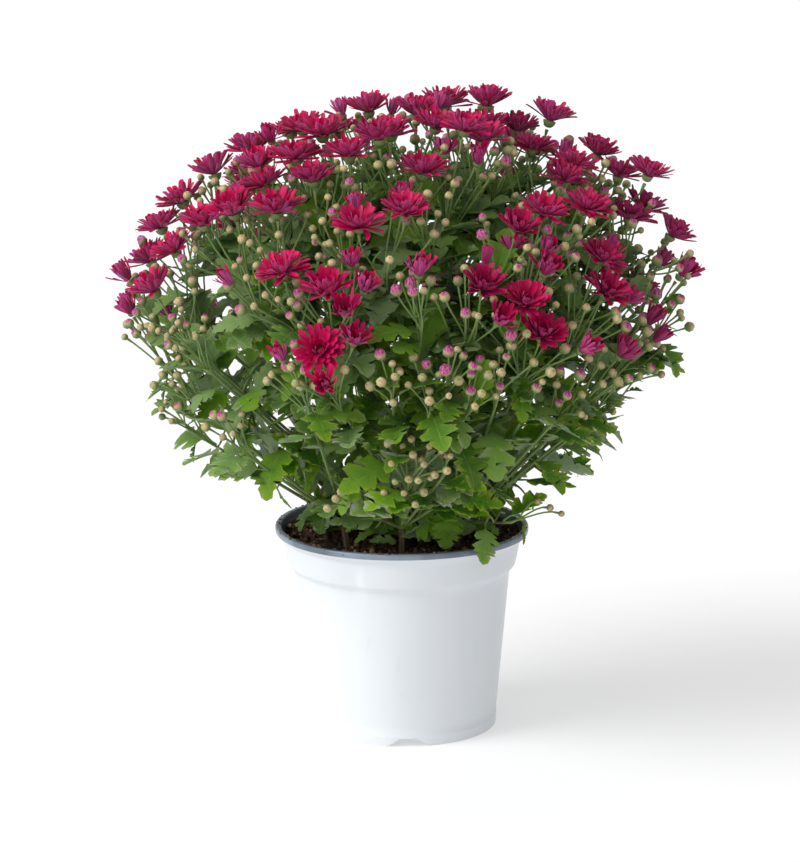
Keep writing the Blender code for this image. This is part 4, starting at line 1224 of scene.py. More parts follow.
@dataclass(frozen=True)
class LeafSkin:
    """Matt lobed leaves: deep green above, grey and downy below, with paler veins."""

    name: str = "Leaf"
    deep: Colour = (0.026, 0.072, 0.003)
    fresh: Colour = (0.128, 0.270, 0.007)
    under: Colour = (0.172, 0.238, 0.118)
    vein: Colour = (0.180, 0.285, 0.060)

    def material(self) -> Material:
        """Its material: veins from its own UV, each leaf's age and tone with painted light, down on the back.

        Returns:
            The material.
        """
        made = Recipe(
            self.name, Roughness=0.55, Specular_IOR_Level=0.17, Sheen_Weight=0.03, Sheen_Roughness=0.45,
            Subsurface_Weight=0.25, Subsurface_Scale=0.004, Subsurface_Radius=(0.5, 1.0, 0.15),
        )
        veins = self._veins(made)
        tone, age = made.number("tone"), made.number("age")
        blotch = made.noise(made.place(), 85.0, 4.0)
        # The number age holds painted light on the plant's left as well as each leaf's age.
        top = made.mix(made.calc("MULTIPLY", age, 0.9), self.deep, self.fresh)
        dull = made.mix(0.35, self.deep, self.under)
        top = made.mix(made.span(blotch, 0.35, 0.7, 0.0, 0.30), top, dull)
        # Tone greys the top: a random share, plus painted sheen on the plant's left.
        top = made.mix(made.span(tone, 0.55, 1.0, 0.0, 0.60), top, self.under)
        top = made.mix(made.calc("MULTIPLY", veins, 0.55), top, self.vein)
        downy = made.mix(0.6, self.deep, self.under)
        back = made.mix(made.span(blotch, 0.3, 0.75, 0.0, 0.5), self.under, downy)
        back = made.mix(made.calc("MULTIPLY", veins, 0.5), back, self.vein)
        made.bump(made.calc("SUBTRACT", made.noise(made.place(), 420.0, 3.0), veins), 0.0003, 0.7)
        colour = made.mix(made.number("side"), top, back)
        return made.finish(colour, made.span(blotch, 0.2, 0.8, 0.48, 0.70))

    @staticmethod
    def _veins(made: Recipe) -> Socket:
        """How much of a vein a place is: the midrib, and side veins that run forward from it.

        Args:
            made: The leaf's recipe.

        Returns:
            A share from 0 to 1.
        """
        parts = made.node("SeparateXYZ", {"Vector": made.own()})
        off_rib = made.off_middle(parts.outputs["X"])
        rib = made.span(off_rib, 0.0, 0.035, 1.0, 0.0)
        forward = made.calc("MULTIPLY", parts.outputs["Y"], 5.2)
        run = made.calc("SUBTRACT", forward, made.calc("MULTIPLY", off_rib, 1.9))
        near = made.off_middle(made.calc("FRACT", run))
        return made.calc("MAXIMUM", rib, made.span(near, 0.0, 0.06, 0.7, 0.0))


@dataclass(frozen=True)
class PetalSkin:
    """Velvety petals: crimson faces and silvery magenta backs, streaked along their length."""

    name: str = "Petal"
    face: Colour = (0.640, 0.003, 0.098)
    deep: Colour = (0.215, 0.002, 0.045)
    back: Colour = (0.330, 0.010, 0.155)
    silver: Colour = (0.660, 0.215, 0.460)

    def material(self) -> Material:
        """Its material: streaks from its own UV, a dark root, a tone for each petal, and painted shade for
        each head.

        Returns:
            The material.
        """
        made = Recipe(
            self.name, Roughness=0.50, Specular_IOR_Level=0.22, Sheen_Weight=0.06, Sheen_Roughness=0.35,
            Sheen_Tint=(1.0, 0.35, 0.65), Subsurface_Weight=0.10, Subsurface_Scale=0.003,
        )
        parts = made.node("SeparateXYZ", {"Vector": made.own()})
        tone, head = made.number("tone"), made.number("head")
        streaks = made.noise(made.own(9.0, 1.2), 1.0, 3.0)
        # Darker to the root: the petal's deeper colour, and painted shade where petals crowd at the heart.
        root = made.span(parts.outputs["Y"], 0.0, 0.50, 0.85, 0.0)
        face = made.mix(made.span(streaks, 0.35, 0.7, 0.0, 0.45), self.face, self.deep)
        # Painted shade: the number head darkens a whole bloom the further right it stands.
        face = made.mix(made.calc("MAXIMUM", root, made.calc("MULTIPLY", head, 0.62)), face, self.deep)
        back = made.mix(made.span(streaks, 0.40, 0.68, 0.0, 0.75), self.back, self.silver)
        # Lighter to the edges: the back's silvery tone and a painted highlight where edges catch light.
        edge = made.off_middle(parts.outputs["X"])
        back = made.mix(made.span(edge, 0.30, 0.50, 0.0, 0.55), back, self.silver)
        back = made.mix(made.calc("MULTIPLY", tone, 0.55), back, made.mix(0.5, self.face, self.back))
        # Painted shade on the back as well, by the number head.
        back = made.mix(made.calc("MULTIPLY", head, 0.60), back, self.deep)
        made.bump(streaks, 0.00035, 0.8)
        colour = made.mix(made.number("side"), face, back)
        return made.finish(colour, made.span(streaks, 0.3, 0.7, 0.38, 0.55))


@dataclass(frozen=True)
class BudSkin:
    """Round buds: green scales below, cream petal tips above, magenta on those about to open."""

    name: str = "Bud"
    scale: Colour = (0.175, 0.240, 0.085)
    cream: Colour = (0.560, 0.470, 0.235)
    tan: Colour = (0.370, 0.210, 0.110)
    magenta: Colour = (0.270, 0.012, 0.115)
    blush: Colour = (0.560, 0.150, 0.320)
    # Colour of the painted shade in the opening at a ripe bud's tip.
    dark: Colour = (0.060, 0.004, 0.030)

    def material(self) -> Material:
        """Its material: bands by height from the bud's own UV, and ripeness for each bud.

        Returns:
            The material.
        """
        made = Recipe(
            self.name, Roughness=0.50, Specular_IOR_Level=0.4, Subsurface_Weight=0.06, Subsurface_Scale=0.003,
        )
        parts = made.node("SeparateXYZ", {"Vector": made.own()})
        ripe, tone = made.number("ripe"), made.number("tone")
        ribs = made.noise(made.own(14.0, 3.0), 1.0, 2.0)
        ragged = made.calc("MULTIPLY", made.calc("SUBTRACT", ribs, 0.5), 0.28)
        height = made.calc("ADD", parts.outputs["Y"], ragged)
        colour = made.mix(made.span(ribs, 0.38, 0.66, 0.0, 0.8), self.cream, self.tan)
        colour = made.mix(made.calc("MULTIPLY", tone, 0.45), colour, self.scale)
        colour = made.mix(made.span(height, 0.30, 0.58, 1.0, 0.0), colour, self.scale)
        colour = made.mix(made.span(parts.outputs["Y"], 0.82, 1.0, 0.0, 0.7), colour, self.tan)
        tip = made.calc("ADD", height, made.calc("MULTIPLY", ripe, 0.58))
        capped = made.calc("MULTIPLY", made.span(tip, 0.96, 1.10), made.span(ripe, 0.40, 0.54))
        cap = made.mix(made.span(ribs, 0.42, 0.60), self.magenta, self.blush)
        colour = made.mix(capped, colour, cap)
        # Painted shade of the opening at a ripe bud's tip, over the deeper colour of the petals inside.
        painted_slit_shade = made.calc("MULTIPLY", made.span(parts.outputs["Y"], 0.93, 1.0), made.span(ripe, 0.2, 0.8))
        colour = made.mix(painted_slit_shade, colour, self.dark)
        made.bump(ribs, 0.0006, 0.9)
        return made.finish(colour, made.span(ribs, 0.3, 0.7, 0.42, 0.62))


@dataclass(frozen=True)
class StudioWhite:
    """The pale seamless floor, which gives off painted light."""

    name: str = "Studio floor"
    pale: Colour = (0.585, 0.585, 0.590)
    shade: Colour = (0.575, 0.575, 0.580)
    glow: float = 0.39

    def material(self) -> Material:
        """Its material: almost even, faintly mottled, giving off painted light for the white walls round it.

        Returns:
            The material.
        """
        # Painted light: the floor's emission lights the plant from below, though the floor is no lamp.
        made = Recipe(
            self.name, Roughness=0.75, Specular_IOR_Level=0.2,
            Emission_Color=(1.0, 1.0, 1.0), Emission_Strength=self.glow,
        )
        mottle = made.span(made.noise(made.place(), 3.0, 2.0), 0.2, 0.8)
        return made.finish(made.mix(mottle, self.pale, self.shade))


# ---------------------------------------------------------------- sub-assemblies


@dataclass(frozen=True)
class View:
    """Where the photograph was taken from."""

    eye: Place = (-0.0014, -2.600, 0.8037)
    target: Place = (-0.0014, 0.0, 0.2199)
    focal: float = 163.54
    sensor: float = 36.0
    picture: tuple[int, int] = (800, 862)

    def seen(self, across_px: float, down_px: float, ahead: float) -> Array:
        """The point seen at a pixel of the picture that lies a distance ahead of the pot's axis.

        The ray is way + (u - middle) / F * right + (middle - v) / F * up, with F the focal length in pixels,
        and it is followed from the eye to the upright plane y = -ahead.

        Args:
            across_px: Pixels from the left.
            down_px: Pixels from the top.
            ahead: Millimetres in front of the pot's axis.

        Returns:
            The point in metres.
        """
        eye = np.array(self.eye)
        way = unit(np.array(self.target) - eye)
        right = unit(np.cross(way, UP))
        up = np.cross(right, way)
        wide, high = self.picture
        pixels = self.focal / self.sensor * wide
        ray = way + (across_px - wide / 2) / pixels * right + (high / 2 - down_px) / pixels * up
        return eye + ray * (-ahead / 1000 - eye[1]) / ray[1]


@dataclass
class NurseryPot:
    """The white pot: raised floor, notched foot, tapering wall, dented collar and slate-blue rim."""

    foot_radius: float = 0.0704
    foot_band: float = 0.0085
    floor_height: float = 0.008
    wall_top_radius: float = 0.0797
    wall_top: float = 0.1175
    collar_foot_radius: float = 0.0840
    collar_foot: float = 0.1222
    collar_top: float = 0.1405
    wall: float = 0.0013
    steps: int = 216
    notches: int = 3
    notch_turn: float = math.radians(4)
    notch_top: float = 0.0057
    notch_foot: float = 0.0161
    notch_height: float = 0.0060
    drains: int = 4
    drain_radius: float = 0.005
    drain_ring: float = 0.048
    dent_turn: float = math.radians(-22.8)
    dent_height: float = 0.1270
    dent_depth: float = 0.0017
    dent_left: float = 0.120
    dent_right: float = 0.042
    dent_high: float = 0.0105
    dent_floor: float = 0.100
    out_of_round: float = 0.0014
    rim_wave: float = 0.0004
    rim_foot: float = 0.142
    # The rim's section in millimetres, each point out from an edge of the rim and down from its top: the
    # slate layer from the inner edge, then on from the outer edge, and the white under the rim.
    slate_inner: Pairs = ((-1.0, 6.0), (-0.2, 2.2), (0.0, 0.9), (0.5, 0.2), (1.2, 0.0))
    slate_outer: Pairs = ((-1.4, 0.0), (-0.5, 0.3), (0.0, 1.2), (0.0, 2.6), (-0.2, 4.2))
    white_under: Pairs = ((-0.7, 4.9), (-2.6, 6.6))
    # The foot ring's section in millimetres, in from its outside and up from the ground.
    foot_ring: Pairs = ((0.0, 6.1), (0.4, 0.0), (2.1, 0.0), (2.9, 6.2))

    def wall_radius(self, height: float) -> float:
        """Outside radius of the tapering wall between foot band and collar.

        Args:
            height: Height above the ground.

        Returns:
            The radius there.
        """
        foot = self.foot_radius - 0.0004
        rise = height - self.foot_band
        return foot + (self.wall_top_radius - foot) * rise / (self.wall_top - self.foot_band)

    def profile(self) -> Array:
        """The section's corners, each (radius, height, 1 where the plastic is the slate inner layer).

        Returns:
            The corners, one row each.
        """
        top, low, foot, ledge = POT_HEIGHT, self.collar_foot_radius, self.foot_radius, self.wall_top_radius
        floor, flare = self.floor_height + self.wall, COLLAR_RADIUS - self.collar_foot_radius
        rise = self.collar_top - self.collar_foot
        inside = [(r, floor) for r in (0.0, 0.030, 0.045, 0.0545, foot - 0.004)]
        inside += [(self.wall_radius(z) - self.wall, z) for z in (0.03, 0.06, 0.09, 0.112)]
        inner, step = low - self.wall, self.collar_foot + 0.0006
        inside += [(ledge - self.wall, self.wall_top + 0.0006), (inner, step)]
        inside += [(inner + flare * k / 5, step + rise * k / 5) for k in range(1, 6)]
        inside += [(RIM_INSIDE + out / 1000, top - down / 1000) for out, down in self.slate_inner]
        inside += [(RIM_RADIUS + out / 1000, top - down / 1000) for out, down in self.slate_outer]
        outside = [(RIM_RADIUS + out / 1000, top - down / 1000) for out, down in self.white_under]
        outside += [(COLLAR_RADIUS + 0.0012, self.collar_top + 0.0014)]
        outside += [(COLLAR_RADIUS + 0.0001, self.collar_top)]
        outside += [(low + flare * k / 8, self.collar_foot + rise * k / 8) for k in range(7, 0, -1)]
        outside += [(low, self.collar_foot + 0.0004), (low - 0.0004, self.collar_foot - 0.0004)]
        outside += [(ledge + 0.0010, self.wall_top + 0.0011), (ledge, self.wall_top - 0.0004)]
        outside += [(self.wall_radius(z), z) for z in (0.112, 0.095, 0.078, 0.061, 0.044, 0.028, 0.015)]
        outside += [(self.wall_radius(self.foot_band), self.foot_band + 0.0003)]
        outside += [(foot, self.foot_band - 0.0004)]
        outside += [(foot - deep / 1000, up / 1000) for deep, up in self.foot_ring]
        outside += [(r, self.floor_height) for r in (foot - 0.0036, 0.0545, 0.0415, 0.0)]
        return np.array([(r, z, 1.0) for r, z in inside] + [(r, z, 0.0) for r, z in outside])

    def turns(self) -> Array:
        """Angles round the axis, with one at every corner of a notch.

        Returns:
            The angles, in order.
        """
        even = np.linspace(0, TURN, self.steps, endpoint=False)
        middles = self.notch_turn + TURN * np.arange(self.notches) / self.notches
        arcs = np.array((-self.notch_foot, -self.notch_top, self.notch_top, self.notch_foot))
        extra = (middles[:, None] + arcs / self.foot_radius).reshape(-1) % TURN
        clear = np.abs(even[:, None] - extra[None]).min(1) > 0.008
        return np.sort(np.concatenate((even[clear], extra)))

    def surface(self, turns: Array, profile: Array) -> Array:
        """The wall's points for each angle and corner of the profile.

        A point is (r sin a, -r cos a, z). Near the notches z is lifted to a trapezoid of height over arc
        length. The collar's r is pressed in by a dent that falls away slowly on its left and fast on its
        right, a bell curve of angle and height, and the whole ring is a hair out of round.

        Args:
            turns: Angles, A of them.
            profile: The section, P rows of radius, height and layer.

        Returns:
            Points, shaped (A, P, 3).
        """
        turn = turns[:, None]
        r = profile[None, :, 0] + 0 * turn
        z = profile[None, :, 1] + 0 * turn
        apart = (turn - self.notch_turn + math.pi / self.notches) % (TURN / self.notches)
        arc = np.abs(apart - math.pi / self.notches) * self.foot_radius
        flank = (self.notch_foot - arc) / (self.notch_foot - self.notch_top)
        lift = np.clip(flank, 0.0, 1.0) * self.notch_height
        z = np.where(z < self.notch_height, np.maximum(z, lift), z)
        aside = (turn - self.dent_turn + math.pi) % TURN - math.pi
        width = np.where(aside < 0, self.dent_left, self.dent_right)
        above = (z - self.dent_height) / self.dent_high
        dent = self.dent_depth * np.exp(-((aside / width) ** 2) - above**2)
        collar = (r > self.foot_radius - 0.006) & (r < COLLAR_RADIUS + 0.001) & (z > self.dent_floor)
        oval = self.out_of_round * np.cos(2 * turn + 0.6) * np.clip(z / POT_HEIGHT, 0, 1) ** 2
        r = (r - collar * dent) * (1.0 + oval)
        z = z + self.rim_wave * np.sin(turn * 3 + 1.0) * (z > self.rim_foot)
        return np.stack((r * np.sin(turn), -r * np.cos(turn), z), -1)

    def build(self) -> None:
        """Makes the pot with its drain holes drilled."""
        turns, profile = self.turns(), self.profile()
        sheaf = Sheaf()
        layer = 1.0 - np.minimum(profile[:, 2], np.roll(profile[:, 2], -1))
        sheaf.skin(self.surface(turns, profile), finish=layer)
        pot = sheaf.piece("pot_shell", (POT_SLATE.material(), POT_WHITE.material()), sharp=38.0)
        weld(pot)
        self.drill(pot)
        register(pot, "pot", "pot")

    def drill(self, pot: Object) -> None:
        """Cuts the drain holes through the floor.

        Args:
            pot: The pot's piece.
        """
        sheaf = Sheaf()
        angles = TURN * (np.arange(self.drains) + 0.5) / self.drains
        foot = np.stack((np.sin(angles), -np.cos(angles), 0 * angles), 1) * self.drain_ring
        ends = np.array((self.floor_height - 0.003, self.floor_height + 0.005))
        paths = foot[:, None] + ends[None, :, None] * UP
        sheaf.loft(tubes(paths, np.full((self.drains, 2), self.drain_radius), 24))
        cutter = sheaf.piece("drill", ())
        cut = pot.modifiers.new("Drains", "BOOLEAN")
        cut.operation, cut.object = "DIFFERENCE", cutter
        bpy.context.view_layer.update()
        evaluated = pot.evaluated_get(bpy.context.evaluated_depsgraph_get())
        drilled = bpy.data.meshes.new_from_object(evaluated)
        pot.modifiers.clear()
        pot.data = drilled
        bpy.data.objects.remove(cutter, do_unlink=True)


def weld(piece: Object) -> None:
    """Merges a piece's doubled points, as at a pole, and drops the faces that close up.

    Args:
        piece: The piece.
    """
    work = bmesh.new()
    work.from_mesh(piece.data)
    bmesh.ops.remove_doubles(work, verts=work.verts, dist=1e-6)
    work.to_mesh(piece.data)
    work.free()


@dataclass
class SoilBed:
    """The root ball's crumbly top, its sides inside the pot, loose crumbs and fibres."""

    edge_radius: float = 0.0853
    steps: int = 220
    rows: int = 74
    crumbs: int = 1500
    rim_crumbs: int = 130
    fibres: int = 70
    fibre_radius: float = 0.00028
    # The root ball's side under its top: radius and height, from the middle of its foot outwards.
    side: Pairs = (
        (0.004, 0.0096), (0.0652, 0.0096), (0.0772, 0.119), (0.0815, 0.125), (0.0853, 0.139),
    )
    # Lumps of three sizes: height, lumps to the metre, then where each pattern starts.
    lumps: tuple[tuple[float, float, float, float], ...] = (
        (0.0016, 70, 9, 5), (0.0011, 190, 3, 7), (0.0007, 520, 1, 2),
    )

    def height(self, x: Array, y: Array) -> Array:
        """Height of the soil's top: a low mound, lumps of three sizes, and a drift against the wall.

        Args:
            x: Places along X.
            y: Places along Y.

        Returns:
            Heights above the pot's foot.
        """
        r = np.hypot(x, y)
        mound = SOIL_EDGE + (SOIL_CROWN - SOIL_EDGE) * np.clip(1.0 - r / 0.075, 0.0, 1.0)
        lumps = sum(
            high * swell(x * scale + a, y * scale + b, number)
            for number, (high, scale, a, b) in enumerate(self.lumps, 1)
        )
        wall = np.clip((r - 0.068) / 0.016, 0.0, 1.0)
        drift = wall * (0.0026 + 0.0026 * np.clip(swell(x * 30 + 4, y * 30 + 8, 4) + 0.4, 0, 1))
        return mound + lumps + drift

    def build(self) -> None:
        """Makes the bed, then the crumbs and fibres that lie on it and on the rim."""
        finish = PottingSoil().material()
        bed, crumbs = Sheaf(), Sheaf()
        side = np.array(self.side)
        radii = np.concatenate((side[:, 0], np.linspace(self.edge_radius, 0.0008, self.rows)))
        angle = TURN * np.arange(self.steps) / self.steps
        x, y = radii[:, None] * np.cos(angle), radii[:, None] * np.sin(angle)
        z = self.height(x, y)
        z[: len(side)] = side[:, 1:]
        source = array_draws("bed")
        tone = source.uniform(0.0, 0.42, (1, len(radii) - 1, self.steps))
        bed.loft(np.stack((x, y, z), -1)[None], tone=tone)
        register(bed.piece("soil_bed", (finish,), sharp=80.0), "soil", "soil")
        self._crumbs(crumbs, source)
        self._fibres(crumbs, source)
        register(crumbs.piece("soil_crumbs", (finish,), sharp=60.0), "soil")

    def _crumbs(self, sheaf: Sheaf, source: Draws) -> None:
        """Adds crumbs over the bed, and smaller ones on the rim.

        A crumb is three rings of five points, each point pushed in or out at random, laid at a random tilt.

        Args:
            sheaf: Where they go.
            source: Their random source.
        """
        count = self.crumbs + self.rim_crumbs
        turn = source.uniform(0, TURN, count)
        out = np.sqrt(source.uniform(0.0, 1.0, count)) * (self.edge_radius - 0.001)
        out[self.crumbs :] = source.uniform(RIM_INSIDE + 0.0002, RIM_RADIUS + 0.0001, self.rim_crumbs)
        size = 0.0007 + 0.0019 * source.uniform(0, 1, count) ** 2.2
        size[self.crumbs :] = source.uniform(0.0004, 0.0011, self.rim_crumbs)
        x, y = out * np.cos(turn), out * np.sin(turn)
        slid = source.uniform(0.0, 0.0030, count)
        edge = np.where(out > RIM_RADIUS - 0.0008, POT_HEIGHT - slid, POT_HEIGHT)
        z = np.where(np.arange(count) < self.crumbs, self.height(x, y), edge) + 0.25 * size
        way = units(source.normal(0, 1, (count, 3)))
        middle = np.stack((x, y, z), 1)
        heights = np.array((-0.75, 0.0, 0.7))
        paths = middle[:, None] + heights[None, :, None] * size[:, None, None] * way[:, None]
        girth = np.array((0.55, 1.0, 0.5))[None, :, None] * size[:, None, None]
        girth = girth * source.uniform(0.65, 1.25, (count, 3, 5))
        tone = source.uniform(0.0, 1.0, (count, 1, 1))
        tone[self.crumbs :] = 0.7 + 0.3 * tone[self.crumbs :]
        sheaf.loft(tubes(paths, girth, 5), tone=tone)

    def _fibres(self, sheaf: Sheaf, source: Draws) -> None:
        """Adds fine fibres that lie on the bed and follow its height.

        Args:
            sheaf: Where they go.
            source: Their random source.
        """
        turn, lean = source.uniform(0, TURN, (2, self.fibres))
        out = np.sqrt(source.uniform(0.1, 1.0, self.fibres)) * 0.078
        reach = source.uniform(0.004, 0.011, self.fibres)
        share = np.linspace(-0.5, 0.5, 5)
        x = (out * np.cos(turn))[:, None] + share * (reach * np.cos(lean))[:, None]
        y = (out * np.sin(turn))[:, None] + share * (reach * np.sin(lean))[:, None]
        z = self.height(x, y) + 0.0012
        tone = source.uniform(0.5, 1.0, (self.fibres, 1, 1))
        radii = np.full((self.fibres, 5), self.fibre_radius)
        sheaf.loft(tubes(np.stack((x, y, z), -1), radii, 4), tone=tone)


@dataclass
class OfShoot:
    """What the pieces of one shoot share: the grown plant and the shoot itself."""

    growth: Growth
    shoot: Shoot

    def bunches(self) -> list[Bunch]:
        """The bunches that grow from this shoot."""
        return [bunch for bunch in self.growth.bunches if bunch.shoot == self.shoot.index]

    def heads(self, *kinds: Kind) -> list[Head]:
        """The shoot's heads of these kinds."""
        return [head for bunch in self.bunches() for head in bunch.of(*kinds)]

    def named(self, what: str) -> str:
        """A piece's name, with the shoot's number."""
        return f"{what}_{self.shoot.index:02d}"


@dataclass
class Green(OfShoot):
    """The stems, branches and stalks of one shoot, in the place of its CAD node."""

    slim: float = 0.84
    stem_rows: int = 30
    branch_rows: int = 12
    stalk_rows: int = 8

    def build(self, finish: Material) -> None:
        """Makes the stem with its branches and stalks.

        Args:
            finish: The stems' material.
        """
        sheaf = Sheaf()
        source = array_draws("green", self.shoot.index)
        share = np.linspace(0.0, 1.0, self.stem_rows)
        stem = np.array([self.shoot.at(s) for s in share])
        radius = self.slim * (SHOOT_RADIUS + (SHOOT_TIP - SHOOT_RADIUS) * share)
        radius = radius * (1.0 + 0.10 * np.cos(share * 40.0) ** 8)
        ridges = 1.0 + 0.07 * np.cos(5 * TURN * np.arange(10) / 10)
        age = np.clip(1.05 - 2.1 * share[:-1], 0.0, 1.0)[None, :, None]
        stem = tubes(stem[None], radius[None, :, None] * ridges, 10)
        sheaf.loft(stem, age=age, tone=source.uniform(0.2, 0.7))
        bunches = self.bunches()
        paths = np.array([eased(self.growth.corners(bunch), self.branch_rows) for bunch in bunches])
        taper = self.slim * np.linspace(1.10, 0.80, self.branch_rows)
        widths = taper * BRANCH_RADIUS * source.uniform(0.85, 1.1, (len(bunches), 1))
        old = np.clip(0.62 - 4.2 * (paths[:, :-1, 2] - 0.16), 0.0, 0.6)[:, :, None]
        sheaf.loft(tubes(paths, widths, 6), age=old, tone=source.uniform(0.1, 0.8, (len(bunches), 1, 1)))
        stalks, girth = self._stalks()
        sheaf.loft(tubes(stalks, girth, 5), age=0.0, tone=source.uniform(0.0, 0.6, (len(stalks), 1, 1)))
        register(sheaf.piece(self.named("stems"), (finish,)), "foliage", self.named("leafy_shoot"))

    def _stalks(self) -> tuple[Array, Array]:
        """Curved stalks: each leaves its branch along it and comes up straight under its head.

        Returns:
            Paths, shaped (K, rows, 3), and radii, shaped (K, rows).
        """
        roots, leaving, necks, facing, tops = [], [], [], [], []
        for bunch in self.bunches():
            path = self.growth.corners(bunch)
            for head in bunch.heads:
                root, neck = self.growth.stalk_line(bunch, head)
                roots.append(root)
                leaving.append(unit(path[-1] - path[-2]))
                necks.append(neck + 0.2 * (head.foot - neck))
                facing.append(head.facing)
                tops.append(1.25 if head.kind is Kind.BUD else 1.7)
        a, d, leave, face = np.array(roots), np.array(necks), np.array(leaving), np.array(facing)
        span = np.linalg.norm(d - a, axis=1)[:, None]
        rows = self.stalk_rows
        paths = bezier(a, a + 0.22 * span * leave + 0.12 * (d - a), d - 0.30 * span * face, d, rows)
        taper = np.interp(np.linspace(0, 1, rows), (0.0, 0.3, 0.85, 1.0), (0.90, 0.66, 0.68, 0.90))
        girth = STALK_RADIUS * taper[None] * np.ones((len(a), 1))
        girth[:, -1] *= np.array(tops)
        return paths, girth


@dataclass
class LeafPlan:
    """Where leaves grow and how each is shaped, gathered one leaf at a time."""

    foot: list[Array] = field(default_factory=list)
    heading: list[Array] = field(default_factory=list)
    face: list[Array] = field(default_factory=list)
    length: list[float] = field(default_factory=list)
    slim: list[float] = field(default_factory=list)
    rule: list[bool] = field(default_factory=list)

    def add(
        self, foot: Array, stem: Array, turn: float, length: float, lean: float,
        slim: float = 1.0, rule: bool = False,
    ) -> None:
        """A leaf that leaves the stem at a turn round it, its face to the sky; low ones hang.

        Args:
            foot: Where it leaves.
            stem: Direction of the stem there.
            turn: Angle round the stem.
            length: Length with its stalk.
            lean: How much it follows the stem.
            slim: Its width as a share of the usual one.
            rule: Whether it is one of the leaves of the CAD source's rule.
        """
        side, other = across(stem)
        out = math.cos(turn) * side + math.sin(turn) * other
        outward = unit(np.array((foot[0], foot[1], 1e-6)))
        low = min(max((CROWN_MIDDLE[2] - foot[2]) / 0.140, 0.0), 1.0)
        heading = unit(out + lean * stem + 0.55 * outward - 0.75 * low * UP)
        tip = foot + length * heading
        reach = max(math.hypot(tip[0], tip[1]) - RIM_RADIUS, 0.0)
        lowest = LEAF_FLOOR + LEAF_SLOPE * reach + 0.3 * length
        heading = unit(heading + max(lowest - tip[2], 0.0) / length * UP)
        sky = UP + (0.25 + 0.6 * low) * outward
        face = unit(sky - (sky @ heading) * heading + 1e-4 * side)
        self.foot.append(foot)
        self.heading.append(heading)
        self.face.append(unit(face - (face @ heading) * heading))
        self.length.append(length)
        self.slim.append(slim)
        self.rule.append(rule)

    def put(self, foot: Array, tip: Array, slim: float = 1.0) -> None:
        """A leaf from a foot to a tip, its upper face to the sky and outwards.

        Args:
            foot: Where it starts.
            tip: Where it ends.
            slim: Its width as a share of the usual one.
        """
        heading = unit(tip - foot)
        outward = unit(np.array((foot[0], foot[1], 1e-6)))
        sky = 0.7 * UP + outward
        self.foot.append(foot)
        self.heading.append(heading)
        self.face.append(unit(sky - (sky @ heading) * heading))
        self.length.append(float(np.linalg.norm(tip - foot)))
        self.slim.append(slim)
        self.rule.append(True)


